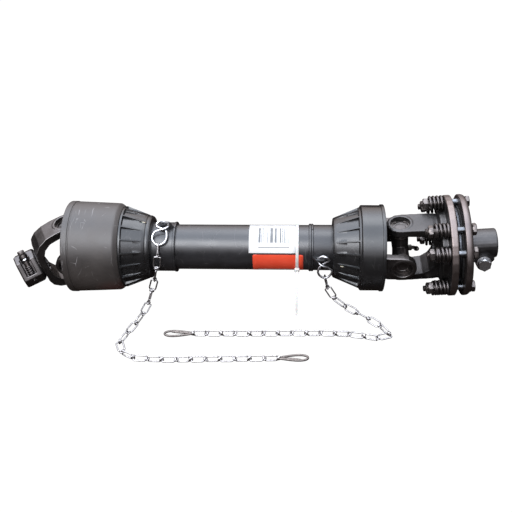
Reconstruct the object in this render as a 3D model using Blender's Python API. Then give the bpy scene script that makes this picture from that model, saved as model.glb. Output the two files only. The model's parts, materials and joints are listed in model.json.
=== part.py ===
"""Drive shaft for a tractor's power take-off, lying on the ground.

From left to right: the yoke that slides onto the tractor's stub, with its push pin; a cross
with four bearing caps; a fork on a profiled tube that telescopes in a second one; a fork,
a cross and the flanged fork of a friction clutch, whose eight spring-loaded bolts squeeze
two friction discs on the centre plate of the hub. A plastic guard covers the tubes and
the joints: a bell and a ribbed cone on the left, a ribbed cone with a rim on the right, and
two tubes that slide in each other. Two chains keep the guard from turning.

Everything hangs on the empty "shaft_axis": x runs along the shaft, -y faces the viewer and
z is up, all measured from the shaft's centre line. Forks are modelled with the joint centre
at their origin, the hub towards +x and the bearing bores along z, and then turned.
"""

import math

import bmesh
import bpy
from mathutils import Matrix, Vector

for old in list(bpy.data.objects):
    bpy.data.objects.remove(old, do_unlink=True)

# Whole shaft
GAP = 0.0003                      # running gap between neighbours
CENTRE_X = -0.0014                # middle of the shaft's length, from the origin
CENTRE_Y = 0.0553                 # shaft axis, from the middle of the footprint
JOINT_LEFT_X = -0.296             # centre of the tractor side joint
JOINT_RIGHT_X = 0.245             # centre of the clutch side joint
LEFT_DROOP = 12.0                 # degrees the tractor yoke hangs down
LEFT_SWING = 28.0                 # degrees the tractor yoke turns to the viewer

# Crosses and bearing caps
CAP_SPAN = 0.092
CAP_RADIUS = 0.0151
CAP_LENGTH = 0.0155
CAP_FLOOR = 0.003
JOURNAL_RADIUS = 0.0100
SHOULDER_RADIUS = 0.0132
NIPPLE_LENGTH = 0.014
NIPPLE_RADIUS = 0.0028

# Forks
CAP_RECESS = 0.007                # arm's outer face to the end of its cap
FORK_ARM = 0.0125                 # thickness of an arm
FORK_WIDTH = 0.044
FORK_THROAT = 0.055               # joint centre to the crown of the arch
FORK_BASE = 0.064                 # joint centre to where the arms have met the hub
ARCH_SQUARE = 0.7                 # 1 for a round arch, smaller for squarer corners
BOSS_RADIUS = 0.0205
BOSS_HEIGHT = 0.0012

# Tractor yoke
HUB_RADIUS = 0.026
HUB_END = 0.099                   # joint centre to the end face
HOUSING_LENGTH = 0.033
HOUSING_ACROSS = 0.055
HOUSING_CHAMFER = 0.012
HOUSING_ROLL = 30.0               # degrees the pin's window faces up
SPLINE_MINOR = 0.0149             # radius over the tips of the teeth
SPLINE_MAJOR = 0.0176             # radius to the bottom of the grooves
SPLINE_GROOVE = 0.0088
SPLINE_COUNT = 6
PIN_RADIUS = 0.0044
PIN_OFFSET = 0.0210               # pin axis from the yoke's axis
PIN_FROM_END = 0.016
PIN_LOW = -0.011
PIN_TOP = 0.0335
PIN_TRAVEL = 0.007
BUTTON_RADIUS = 0.0058
BUTTON_LENGTH = 0.0065
WINDOW_LENGTH = 0.030
WINDOW_WIDTH = 0.0165
WINDOW_FLOOR = 0.0192
PIN_SPRING_WIRE = 0.0007
PIN_SPRING_LENGTH = 0.0080
PIN_SPRING_TURNS = 4

# Profiled drive tubes and the forks on them
PROFILE_OUTER = 0.02175           # radius over the lobes of the outer tube
PROFILE_DIP = 0.0030              # how far the flanks lie inside that radius
PROFILE_WALL = 0.0034
INNER_WALL = 0.0032
SLEEVE_RADIUS = 0.028             # hub of the two forks on the tubes
SLEEVE_LENGTH = 0.149             # joint centre to the end of that hub
SOCKET_START = 0.068              # joint centre to the bottom of the tube's socket
LEFT_GROOVE_BACK = 0.0125         # end of that hub to the groove of the bearing ring
RIGHT_GROOVE_BACK = 0.031
GROOVE_WIDTH = 0.0075
GROOVE_DEPTH = 0.003
DRIVE_END_GAP = 0.014             # end of the outer tube to the right fork's hub
INNER_DRIVE_START_X = -0.190
ROLL_PIN_RADIUS = 0.004
ROLL_PIN_X = 0.088                # joint centre to the roll pin

# Friction clutch, measured from the right joint centre along the clutch's own axis
PLATE_RADIUS = 0.0824
BASE_START = 0.059
BASE_GAP = 0.0004                 # base of the flange to the springs' coils
FLANGE_START = 0.072
FLANGE_THICKNESS = 0.011
PLATE_SPACING = 0.011             # room between the two plates
PRESSURE_THICKNESS = 0.0115
PLATE_CHAMFER = 0.001
PRESSURE_EDGE = 0.004
DISC_BORE = 0.040
DISC_THICKNESS = 0.003
CENTRE_PLATE_INSET = 0.001        # edge of the linings to the edge of the centre plate
CLUTCH_HUB_RADIUS = 0.024
CLUTCH_HUB_START = 0.0745
CLUTCH_HUB_END = 0.153
RECESS_DEPTH = 0.0095
BOLT_INSET = 0.0118               # edge of the plates to the middle of a bolt
BOLT_ANGLES = (30, 60, 120, 150, 210, 240, 300, 330)
BOLT_RADIUS = 0.005
BOLT_TIP = 0.0347
BOLT_FLATS = 0.017
BOLT_HEAD = 0.0065
NUT_HEIGHT = 0.008
SPRING_RADIUS = 0.0102            # to the middle of the wire
SPRING_WIRE = 0.002               # radius of the wire
SPRING_LENGTH = 0.024
SPRING_TURNS = 4
CLAMP_AXIAL = 0.131
CLAMP_OFFSET = 0.026
CLAMP_TURN = 17.0                 # degrees the clamp bolt points up
CLAMP_BOSS_RADIUS = 0.0125
CLAMP_BOSS_LENGTH = 0.0405
CLAMP_BOSS_AXIAL = 0.034
CLAMP_BOLT_RADIUS = 0.006
CLAMP_FLATS = 0.019
CLAMP_HEAD = 0.0075
CLAMP_NUT = 0.010
WASHER_RADIUS = 0.0122
WASHER_THICKNESS = 0.0025

# Guard, measured along x from the origin of the shaft axis
GUARD_OUTER_RADIUS = 0.0372
GUARD_WALL = 0.0032
GUARD_PLAY = 0.001                # between the two guard tubes
GUARD_INNER_WALL = 0.0030
GUARD_TUBE_IN = 0.023             # length of the outer tube inside the left collar
INNER_GUARD_START_X = -0.100
INNER_GUARD_GAP = 0.006           # end of the inner tube to the bearing ring's groove
END_RING_WIDTH = 0.004
END_RING_HEIGHT = 0.0022
COLLAR_WALL = 0.0032
LEFT_COLLAR_LENGTH = 0.047
LEFT_COLLAR_OVER = 0.0105         # how far a collar reaches past its bearing ring's groove
LEFT_RIDGE_WIDTH = 0.003
LEFT_RIDGE_HEIGHT = 0.0011
RIGHT_COLLAR_LENGTH = 0.0417
RIGHT_COLLAR_OVER = 0.014
RIGHT_COLLAR_WALL = 0.0043
RING_PLAY = 0.0004                # bearing ring to the sides of its groove
SHELL = 0.003                     # wall of the bell and the cones
MOUTH_X = -0.300
MOUTH_RADIUS = 0.076
MOUTH_LIP = 0.010
LIP_STEP = 0.0012
BELL_BACK_X = -0.2103
BELL_BACK_RADIUS = 0.0716
BELL_SHOULDER = 0.005
BELL_BACK_BORE = 0.058
LEFT_CONE_WIDE = 0.0672
LEFT_CONE_STEP = 0.0123           # collar's outside to the narrow end of the cone
LEFT_CONE_OVER = 0.008            # length of the collar inside the cone
CONE_END_RING = 0.008
RIGHT_CONE_OVER = 0.007
RIGHT_CONE_STEP = 0.0114
RIGHT_CONE_WIDE = 0.0672
RIGHT_RIM_X = 0.178
RIGHT_RIM_END_X = 0.216
RIM_RADIUS = 0.0704
RIM_LIP = 0.0014
RIB_COUNT = 18
RIB_WIDTH = 0.0055
RIB_HEIGHT = 0.0026
LUG_WIDTH = 0.026
LUG_TOP_WIDTH = 0.014
LUG_THICKNESS = 0.004
LUG_HEIGHT = 0.0123               # above the left collar's outside
LUG_HOLE_RADIUS = 0.0034
LEFT_LUG_IN = 0.0315              # left collar's start to the middle of its ear
LEFT_LUG_ANGLE = 90.0             # degrees up from the viewer's side
RIGHT_LUG_IN = 0.028              # right collar's end to the middle of its ear
RIGHT_LUG_ANGLE = 17.0
PIP_RADIUS = 0.0018
TIE_IN = 0.023                    # end of the outer guard tube to the tie
TIE_WIDTH = 0.0048
TIE_THICKNESS = 0.0012
TIE_HEAD = 0.008
TIE_ANGLE = -25.0
TIE_TAIL = 0.074

# Chains, their rings and their hooks
LINK_LENGTH = 0.0265
LINK_WIDTH = 0.013
LINK_WIRE = 0.00125
LINK_PITCH = 0.0227
LINK_COUNT = 21
RING_WIRE = 0.0015
RING_HOLE_IN = 0.006              # top of the ear to the middle of its hole
RING_HOLE_SHIFT = 0.0035          # middle of the ear to its hole, along the shaft
HOOK_WIRE = 0.0019
HOOK_LENGTH = 0.050
HOOK_WIDTH = 0.0195

# Routes of the chains: x from the hole of the ear, y from the side of the outer guard tube, z
# from the ground
LEFT_ROUTE = (
    (-0.0133, -0.0088, 0.097), (-0.0160, -0.0138, 0.080), (-0.0210, -0.0168, 0.055),
    (-0.0290, -0.0208, 0.030), (-0.0355, -0.0308, 0.0105), (-0.0405, -0.0468, 0.0068),
    (-0.0460, -0.0633, 0.0068), (-0.0539, -0.0808, 0.0068), (-0.0610, -0.0963, 0.0068),
    (-0.0698, -0.1158, 0.0068), (-0.0655, -0.1318, 0.0068), (-0.0475, -0.1453, 0.0068),
    (-0.0155, -0.1490, 0.0068), (0.0236, -0.1493, 0.0068), (0.0624, -0.1478, 0.0068),
    (0.1243, -0.1457, 0.0068), (0.1953, -0.1433, 0.0068), (0.2600, -0.1421, 0.0068),
)
RIGHT_ROUTE = (
    (0.0145, -0.0158, 0.042), (0.0235, -0.0203, 0.0235), (0.0385, -0.0278, 0.0095),
    (0.0545, -0.0363, 0.0068), (0.0678, -0.0463, 0.0068), (0.0840, -0.0588, 0.0068),
    (0.0980, -0.0713, 0.0068), (0.1100, -0.0818, 0.0068), (0.1145, -0.0928, 0.0068),
    (0.1025, -0.1008, 0.0068), (0.0849, -0.0978, 0.0068), (0.0405, -0.0910, 0.0068),
    (-0.0279, -0.0909, 0.0068), (-0.1075, -0.0931, 0.0068), (-0.2062, -0.0948, 0.0068),
    (-0.2695, -0.1018, 0.0068),
)

# Sizes that follow from the ones above
SHAFT_HEIGHT = MOUTH_RADIUS
FORK_SPAN = CAP_SPAN + 2 * CAP_RECESS      # over the outer faces of the arms
LEFT_GROOVE_START = SLEEVE_LENGTH - LEFT_GROOVE_BACK
RIGHT_GROOVE_START = SLEEVE_LENGTH - RIGHT_GROOVE_BACK
OUTER_DRIVE_END_X = JOINT_RIGHT_X - SLEEVE_LENGTH - DRIVE_END_GAP
BOLT_CIRCLE = PLATE_RADIUS - BOLT_INSET
BASE_RADIUS = BOLT_CIRCLE - SPRING_RADIUS - SPRING_WIRE - BASE_GAP
DISC_RADIUS = BOLT_CIRCLE - BOLT_RADIUS - 2 * GAP
CENTRE_PLATE_RADIUS = DISC_RADIUS - CENTRE_PLATE_INSET
CAP_BORE = CAP_RADIUS + GAP
FLANGE_END = FLANGE_START + FLANGE_THICKNESS
PRESSURE_START = FLANGE_END + PLATE_SPACING
PRESSURE_END = PRESSURE_START + PRESSURE_THICKNESS
CENTRE_PLATE_START = FLANGE_END + DISC_THICKNESS + 2 * GAP
CENTRE_PLATE_END = PRESSURE_START - DISC_THICKNESS - 2 * GAP
PROFILE_INNER = PROFILE_OUTER - PROFILE_WALL - GAP
COLLAR_BORE = GUARD_OUTER_RADIUS + GAP
GUARD_INNER_RADIUS = GUARD_OUTER_RADIUS - GUARD_WALL - GUARD_PLAY
END_RING_RADIUS = GUARD_OUTER_RADIUS + END_RING_HEIGHT
LEFT_COLLAR_RADIUS = COLLAR_BORE + COLLAR_WALL
LEFT_RIDGE_RADIUS = LEFT_COLLAR_RADIUS + LEFT_RIDGE_HEIGHT
RIGHT_COLLAR_RADIUS = GUARD_INNER_RADIUS + GAP + RIGHT_COLLAR_WALL
LEFT_CONE_NARROW = LEFT_COLLAR_RADIUS + LEFT_CONE_STEP
RIGHT_CONE_NARROW = RIGHT_COLLAR_RADIUS + RIGHT_CONE_STEP
LUG_TOP_RADIUS = LEFT_COLLAR_RADIUS + LUG_HEIGHT
RING_HOLE_RADIUS = LUG_TOP_RADIUS - RING_HOLE_IN
# Each collar covers its bearing ring, and carries its tube, its cone and its ear.
LEFT_COLLAR_START_X = JOINT_LEFT_X + LEFT_GROOVE_START - LEFT_COLLAR_OVER
LEFT_COLLAR_END_X = LEFT_COLLAR_START_X + LEFT_COLLAR_LENGTH
LEFT_CONE_END_X = LEFT_COLLAR_START_X + LEFT_CONE_OVER
LEFT_LUG_X = LEFT_COLLAR_START_X + LEFT_LUG_IN
GUARD_TUBE_START_X = LEFT_COLLAR_END_X - GUARD_TUBE_IN
RIGHT_COLLAR_END_X = JOINT_RIGHT_X - RIGHT_GROOVE_START + RIGHT_COLLAR_OVER
RIGHT_COLLAR_START_X = RIGHT_COLLAR_END_X - RIGHT_COLLAR_LENGTH
RIGHT_CONE_START_X = RIGHT_COLLAR_END_X - RIGHT_CONE_OVER
RIGHT_LUG_X = RIGHT_COLLAR_END_X - RIGHT_LUG_IN
GUARD_TUBE_END_X = RIGHT_COLLAR_START_X - GAP
INNER_GUARD_END_X = JOINT_RIGHT_X - RIGHT_GROOVE_START - GROOVE_WIDTH - INNER_GUARD_GAP
TIE_X = GUARD_TUBE_END_X - TIE_IN
# The clutch tips up until its flange and the bell stand on the same ground.
CLUTCH_TILT = math.degrees(
    math.acos(SHAFT_HEIGHT / math.hypot(PLATE_RADIUS, FLANGE_START))
    - math.atan(FLANGE_START / PLATE_RADIUS)
)

PAINTS = {
    "black_steel": ((0.030, 0.032, 0.036), 0.40, 0.85),
    "grey_steel": ((0.30, 0.31, 0.32), 0.38, 0.95),
    "bright_steel": ((0.62, 0.63, 0.65), 0.25, 1.0),
    "black_plastic": ((0.035, 0.037, 0.042), 0.50, 0.0),
    "nylon_ring": ((0.70, 0.68, 0.60), 0.55, 0.0),
    "zinc": ((0.66, 0.67, 0.68), 0.32, 1.0),
    "black_spring": ((0.018, 0.018, 0.020), 0.40, 0.7),
    "friction_lining": ((0.10, 0.085, 0.070), 0.90, 0.0),
    "white_plastic": ((0.88, 0.89, 0.88), 0.40, 0.0),
    "brass_nipple": ((0.55, 0.52, 0.42), 0.35, 1.0),
}


def paint(name):
    """Give the named material, made once."""
    found = bpy.data.materials.get(name)
    if found:
        return found
    colour, roughness, metallic = PAINTS[name]
    made = bpy.data.materials.new(name)
    made.use_nodes = True
    shader = made.node_tree.nodes["Principled BSDF"]
    shader.inputs["Base Color"].default_value = (*colour, 1.0)
    shader.inputs["Roughness"].default_value = roughness
    shader.inputs["Metallic"].default_value = metallic
    made.diffuse_color = (*colour, 1.0)
    return made


def turned(axis, degrees):
    """Rotation about one axis, in degrees."""
    return Matrix.Rotation(math.radians(degrees), 4, axis)


def moved(x=0.0, y=0.0, z=0.0):
    """Translation by x, y and z."""
    return Matrix.Translation((x, y, z))


def empty(name, matrix, parent=None):
    """Place a named pivot."""
    made = bpy.data.objects.new(name, None)
    made.empty_display_size = 0.02
    bpy.context.scene.collection.objects.link(made)
    made.parent = parent
    made.matrix_local = matrix
    return made


def piece(name, mesh, material, parent, matrix=None):
    """Place one named sub-part under its pivot."""
    made = bpy.data.objects.new(name, mesh)
    bpy.context.scene.collection.objects.link(made)
    mesh.materials.clear()
    mesh.materials.append(paint(material))
    mesh.shade_smooth()
    mesh.set_sharp_from_angle(angle=math.radians(32))
    made.parent = parent
    made.matrix_local = matrix or Matrix.Identity(4)
    return made


def finished(bm, matrix=None):
    """Close a bmesh with its faces pointing out, as mesh data."""
    bmesh.ops.recalc_face_normals(bm, faces=bm.faces)
    if matrix:
        bmesh.ops.transform(bm, matrix=matrix, verts=bm.verts)
    mesh = bpy.data.meshes.new("shape")
    bm.to_mesh(mesh)
    bm.free()
    return mesh


def lathe(profile, steps, matrix=None):
    """Spin a closed outline of (x, radius) points round the x axis."""
    bm = bmesh.new()
    verts = [bm.verts.new((x, r, 0.0)) for x, r in profile]
    edges = []
    for a, b in zip(verts, verts[1:] + verts[:1]):
        if a.co.y > 1e-7 or b.co.y > 1e-7:
            edges.append(bm.edges.new((a, b)))
    bmesh.ops.spin(bm, geom=verts + edges, axis=(1, 0, 0), cent=(0, 0, 0), steps=steps,
                   angle=math.tau)
    bmesh.ops.remove_doubles(bm, verts=bm.verts, dist=1e-6)
    return finished(bm, matrix)


def prism(outline, low, high, matrix=None):
    """Extrude a closed outline of (x, y) points from z = low to z = high."""
    bm = bmesh.new()
    face = bm.faces.new([bm.verts.new((x, y, low)) for x, y in outline])
    grown = bmesh.ops.extrude_face_region(bm, geom=[face])
    top = [item for item in grown["geom"] if isinstance(item, bmesh.types.BMVert)]
    bmesh.ops.translate(bm, vec=(0.0, 0.0, high - low), verts=top)
    return finished(bm, matrix)


def block(low, high, matrix=None):
    """Box between two corners."""
    size = [b - a for a, b in zip(low, high)]
    middle = [(a + b) / 2 for a, b in zip(low, high)]
    bm = bmesh.new()
    bmesh.ops.create_cube(bm, size=1.0, matrix=Matrix.Translation(middle)
                          @ Matrix.Diagonal((*size, 1.0)))
    return finished(bm, matrix)


def rod(radius, low, high, steps, matrix=None):
    """Cylinder along x."""
    return lathe(((low, 0.0), (low, radius), (high, radius), (high, 0.0)), steps, matrix)


def loft(loops, ring=False, matrix=None):
    """Skin loops of equally many points; a ring joins the last one to the first."""
    bm = bmesh.new()
    rows = [[bm.verts.new(point) for point in loop] for loop in loops]
    count = len(rows[0])
    following = rows[1:] + rows[:1] if ring else rows[1:]
    for near, far in zip(rows, following):
        for i in range(count):
            j = (i + 1) % count
            bm.faces.new((near[i], near[j], far[j], far[i]))
    if not ring:
        bm.faces.new(rows[0][::-1])
        bm.faces.new(rows[-1])
    return finished(bm, matrix)


def combined(body, tool, operation):
    """Join, cut or intersect two meshes with an exact Boolean."""
    first = bpy.data.objects.new("body", body)
    second = bpy.data.objects.new("tool", tool)
    for item in (first, second):
        bpy.context.scene.collection.objects.link(item)
    modifier = first.modifiers.new("Boolean", "BOOLEAN")
    modifier.operation = operation
    modifier.solver = "EXACT"
    modifier.object = second
    bpy.context.view_layer.update()
    graph = bpy.context.evaluated_depsgraph_get()
    result = bpy.data.meshes.new_from_object(first.evaluated_get(graph))
    bm = bmesh.new()
    bm.from_mesh(result)
    bmesh.ops.dissolve_degenerate(bm, dist=2e-6, edges=bm.edges)
    bm.to_mesh(result)
    bm.free()
    for item in (first, second):
        bpy.data.objects.remove(item, do_unlink=True)
    for mesh in (body, tool):
        bpy.data.meshes.remove(mesh)
    return result


def joined(*meshes):
    """Union of meshes."""
    result = meshes[0]
    for mesh in meshes[1:]:
        result = combined(result, mesh, "UNION")
    return result


def cut(body, *tools):
    """Body less the tools."""
    for tool in tools:
        body = combined(body, tool, "DIFFERENCE")
    return body


def circle_loop(x, radius, count, start=0.0):
    """Points of a circle round the x axis."""
    return [
        (x, radius * math.cos(start + math.tau * i / count),
         radius * math.sin(start + math.tau * i / count))
        for i in range(count)
    ]


def hex_loop(x, flats, count=6):
    """Points on a hexagon round the x axis: its corners, and with 12 the sides' middles."""
    points = []
    for i in range(count):
        middle = count == 12 and i % 2
        radius = flats / 2 if middle else flats / 2 / math.cos(math.pi / 6)
        angle = math.tau * i / count
        points.append((x, radius * math.cos(angle), radius * math.sin(angle)))
    return points


def tube_along(points, radius, sides, closed=False):
    """Round wire along points, its section carried along without twisting."""
    path = [Vector(point) for point in points]
    count = len(path)
    loops = []
    normal = None
    for i, here in enumerate(path):
        if closed:
            along = path[(i + 1) % count] - path[i - 1]
        else:
            along = path[min(i + 1, count - 1)] - path[max(i - 1, 0)]
        along.normalize()
        if normal is None:
            normal = along.orthogonal().normalized()
        normal = (normal - along * normal.dot(along)).normalized()
        side = along.cross(normal)
        loops.append([
            here + radius * (math.cos(math.tau * k / sides) * normal
                             + math.sin(math.tau * k / sides) * side)
            for k in range(sides)
        ])
    if closed:
        # The last section meets the first at the turn that fits it best.
        first, last = loops[0], loops[-1]
        shift = min(range(sides), key=lambda k: sum(
            (first[i] - last[(i + k) % sides]).length for i in range(sides)))
        if shift:
            bm = bmesh.new()
            rows = [[bm.verts.new(p) for p in loop] for loop in loops]
            for near, far in zip(rows, rows[1:]):
                for i in range(sides):
                    j = (i + 1) % sides
                    bm.faces.new((near[i], near[j], far[j], far[i]))
            near, far = rows[-1], rows[0]
            for i in range(sides):
                j = (i + 1) % sides
                bm.faces.new((near[(i + shift) % sides], near[(j + shift) % sides],
                              far[j], far[i]))
            return finished(bm)
    return loft(loops, ring=closed)


def triangles(mesh):
    """Split a mesh's bent quads, so that a Boolean reads the same faces everywhere."""
    bm = bmesh.new()
    bm.from_mesh(mesh)
    bmesh.ops.triangulate(bm, faces=bm.faces)
    bm.to_mesh(mesh)
    bm.free()
    return mesh


def smooth_route(points, share, closed=False):
    """Catmull-Rom curve through points, with share steps between neighbours."""
    knots = [Vector(point) for point in points]
    count = len(knots)
    curve = []
    spans = count if closed else count - 1
    for i in range(spans):
        if closed:
            a, b, c, d = (knots[(i + k) % count] for k in (-1, 0, 1, 2))
        else:
            b, c = knots[i], knots[i + 1]
            a = knots[i - 1] if i else 2 * b - c
            d = knots[i + 2] if i + 2 < count else 2 * c - b
        for k in range(share):
            t = k / share
            curve.append(0.5 * (2 * b + (c - a) * t + (2 * a - 5 * b + 4 * c - d) * t * t
                                + (3 * b - a - 3 * c + d) * t ** 3))
    if not closed:
        curve.append(knots[-1])
    return curve


def fork(base_radius, hub_profile, hub_steps):
    """Two arched arms with bearing bores along z, on a turned hub along x."""
    outer, inner = FORK_SPAN / 2, FORK_SPAN / 2 - FORK_ARM
    half_width = FORK_WIDTH / 2
    tip = -half_width - 0.002
    bend_start, arch_start = 0.020, 0.014
    over = []
    for i in range(5):
        t = math.pi / 2 * i / 4
        over.append((bend_start + (FORK_BASE - bend_start) * math.sin(t),
                     base_radius + (outer - base_radius) * math.cos(t)))
    under = []
    for i in range(5):
        t = math.pi / 2 * i / 4
        under.append((arch_start + (FORK_THROAT - arch_start) * math.sin(t) ** ARCH_SQUARE,
                      inner * math.cos(t) ** ARCH_SQUARE))
    half = [(tip, outer)] + over
    arch = [(x, -z) for x, z in under[:-1]] + under[::-1]
    outline = half + [(x, -z) for x, z in half[::-1]] + [(tip, -inner)] + arch + [(tip, inner)]
    arms = prism(outline, -0.04, 0.04, turned("X", 90))
    plan = [(half_width * math.cos(math.radians(a)), half_width * math.sin(math.radians(a)))
            for a in range(90, 271, 20)]
    plan += [(0.034, -half_width), (FORK_BASE + 0.002, -half_width - 0.003),
             (FORK_BASE + 0.002, half_width + 0.003), (0.034, half_width)]
    arms = combined(arms, prism(plan, -0.08, 0.08), "INTERSECT")
    body = joined(arms, lathe(hub_profile, hub_steps))
    for side in (90, -90):
        boss = lathe(((outer - 0.004, 0.0), (outer - 0.004, BOSS_RADIUS),
                      (outer + BOSS_HEIGHT, BOSS_RADIUS - BOSS_HEIGHT),
                      (outer + BOSS_HEIGHT, 0.0)), 18, turned("Y", side))
        body = joined(body, boss)
    return cut(body, rod(CAP_BORE, -0.07, 0.07, 18, turned("Y", 90)))


def bearing_cap():
    """Needle bearing cup, open towards the cross, along x."""
    end = CAP_SPAN / 2
    start = end - CAP_LENGTH
    # The cup turns on the journal, so the flats of its bore clear the journal's corners.
    bore = (JOURNAL_RADIUS + GAP) / math.cos(math.pi / 12)
    return lathe(((start, bore), (start, CAP_RADIUS), (end - 0.0008, CAP_RADIUS),
                  (end, CAP_RADIUS - 0.0008), (end, 0.0), (end - CAP_FLOOR, 0.0),
                  (end - CAP_FLOOR, bore)), 12)


def cross_body():
    """Spider with two crossing pairs of journals, along y and z."""
    reach = CAP_SPAN / 2 - CAP_FLOOR - GAP
    shoulder = CAP_SPAN / 2 - CAP_LENGTH - GAP
    outline = ((-reach, 0.0), (-reach, JOURNAL_RADIUS), (-shoulder, JOURNAL_RADIUS),
               (-shoulder, SHOULDER_RADIUS), (shoulder, SHOULDER_RADIUS),
               (shoulder, JOURNAL_RADIUS), (reach, JOURNAL_RADIUS), (reach, 0.0))
    return joined(lathe(outline, 12, turned("Z", 90)), lathe(outline, 12, turned("Y", 90)))


def nipple(start):
    """Grease nipple along x: hexagon, neck and ball."""
    r = NIPPLE_RADIUS
    end = start + NIPPLE_LENGTH
    return lathe(((start, 0.0), (start, r * 1.35), (end - 0.0075, r * 1.35), (end - 0.0065, r * 0.8),
                  (end - 0.0040, r * 0.8), (end - 0.0028, r * 1.15), (end - 0.0010, r * 1.0),
                  (end, r * 0.5), (end, 0.0)), 8)


def splined_bore(low, high):
    """Cutter for a bore with six straight-sided grooves, along x."""
    outline = []
    pitch = math.tau / SPLINE_COUNT
    half_out = math.asin(SPLINE_GROOVE / 2 / SPLINE_MAJOR)
    half_in = math.asin(SPLINE_GROOVE / 2 / SPLINE_MINOR)
    for k in range(SPLINE_COUNT):
        centre = k * pitch
        land = pitch - 2 * half_in
        for radius, angle in (
            (SPLINE_MINOR, centre - half_in), (SPLINE_MAJOR, centre - half_out),
            (SPLINE_MAJOR, centre), (SPLINE_MAJOR, centre + half_out),
            (SPLINE_MINOR, centre + half_in), (SPLINE_MINOR, centre + half_in + land / 2),
        ):
            outline.append((radius * math.cos(angle), radius * math.sin(angle)))
    return prism(outline, low, high, turned("Y", 90))


def profile_loop(x, radius, grow=0.0):
    """Three-lobed section of a drive tube."""
    points = []
    for i in range(24):
        angle = math.tau * i / 24
        r = radius + grow - PROFILE_DIP * (1 - math.cos(3 * angle)) / 2
        points.append((x, r * math.sin(angle), r * math.cos(angle)))
    return points


def tube_fork(groove_start):
    """Fork with a sleeve for a profiled tube and a groove for the guard's bearing ring."""
    groove_end = groove_start + GROOVE_WIDTH
    groove_radius = SLEEVE_RADIUS - GROOVE_DEPTH
    hub = ((FORK_THROAT + 0.006, 0.0), (FORK_THROAT + 0.006, SLEEVE_RADIUS - 0.003),
           (FORK_BASE - 0.002, SLEEVE_RADIUS), (groove_start, SLEEVE_RADIUS),
           (groove_start, groove_radius), (groove_end, groove_radius),
           (groove_end, SLEEVE_RADIUS), (SLEEVE_LENGTH - 0.001, SLEEVE_RADIUS),
           (SLEEVE_LENGTH, SLEEVE_RADIUS - 0.001), (SLEEVE_LENGTH, 0.0))
    return fork(SLEEVE_RADIUS - 0.001, hub, 24)


# Pivots: each joint's parts hang on an empty at its centre.
axis = empty("shaft_axis", moved(CENTRE_X, CENTRE_Y, SHAFT_HEIGHT))
left_joint = empty("left_cross_pivot", moved(JOINT_LEFT_X) @ turned("Y", -LEFT_DROOP), axis)
yoke_pivot = empty("tractor_yoke_pivot", turned("Z", LEFT_SWING), left_joint)
right_joint = empty("right_cross_pivot", moved(JOINT_RIGHT_X) @ turned("Y", -CLUTCH_TILT), axis)
clutch = empty("clutch_pivot", moved(), right_joint)

# Tractor yoke: fork, neck, groove and the boxy housing of the push pin.
facing_left = turned("Z", 180)
housing_start = HUB_END - HOUSING_LENGTH
neck = ((FORK_THROAT + 0.006, 0.0), (FORK_THROAT + 0.006, HUB_RADIUS - 0.002),
        (FORK_BASE - 0.002, HUB_RADIUS), (housing_start - 0.003, HUB_RADIUS),
        (housing_start - 0.003, HUB_RADIUS - 0.002), (housing_start + 0.004, HUB_RADIUS - 0.002),
        (housing_start + 0.004, 0.0))
yoke = fork(HUB_RADIUS - 0.0015, neck, 24)
half = HOUSING_ACROSS / 2
short = half - HOUSING_CHAMFER
octagon = [(half, -short), (half, short), (short, half), (-short, half),
           (-half, short), (-half, -short), (-short, -half), (short, -half)]
roll = turned("X", HOUSING_ROLL)
housing = loft([
    [(x, y * share, z * share) for y, z in octagon]
    for x, share in ((housing_start, 0.94), (housing_start + 0.003, 1.0),
                     (HUB_END - 0.002, 1.0), (HUB_END, 0.95))
], matrix=roll)
pin_x = HUB_END - PIN_FROM_END
upright = turned("Y", -90)
pin_place = roll @ moved(pin_x, PIN_OFFSET, 0.0) @ upright
pocket = block((pin_x - WINDOW_WIDTH / 2, WINDOW_FLOOR, -WINDOW_LENGTH / 3),
               (pin_x + WINDOW_WIDTH / 2, 0.04, WINDOW_LENGTH * 2 / 3), roll)
spring_end = WINDOW_LENGTH * 2 / 3 - 0.0005
spring_start = spring_end - PIN_SPRING_LENGTH
yoke = cut(joined(yoke, housing),
           splined_bore(FORK_THROAT - 0.01, HUB_END + 0.01),
           pocket,
           rod(PIN_RADIUS + GAP, PIN_LOW - PIN_TRAVEL - 0.002, 0.03, 16, pin_place),
           rod(BUTTON_RADIUS + 0.0006, spring_start - 0.0006, 0.05, 16, pin_place))
piece("tractor_yoke", yoke, "black_steel", yoke_pivot, facing_left)
button = PIN_TOP - BUTTON_LENGTH
piece("release_pin", lathe((
    (PIN_LOW, 0.0), (PIN_LOW, PIN_RADIUS * 0.5), (PIN_LOW + PIN_RADIUS * 0.5, PIN_RADIUS),
    (button, PIN_RADIUS), (button, BUTTON_RADIUS), (PIN_TOP - 0.001, BUTTON_RADIUS),
    (PIN_TOP, BUTTON_RADIUS - 0.001), (PIN_TOP, 0.0)), 16), "bright_steel", yoke_pivot,
    facing_left @ pin_place)
coil = PIN_RADIUS + 0.0004 + PIN_SPRING_WIRE
rise = PIN_SPRING_LENGTH - 2 * PIN_SPRING_WIRE
turns = [math.tau * PIN_SPRING_TURNS * i / (9 * PIN_SPRING_TURNS)
         for i in range(9 * PIN_SPRING_TURNS + 1)]
piece("release_pin_spring", tube_along([
    (spring_start + PIN_SPRING_WIRE + rise * a / turns[-1], coil * math.cos(a), coil * math.sin(a))
    for a in turns], PIN_SPRING_WIRE, 5), "black_spring", yoke_pivot, facing_left @ pin_place)

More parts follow.
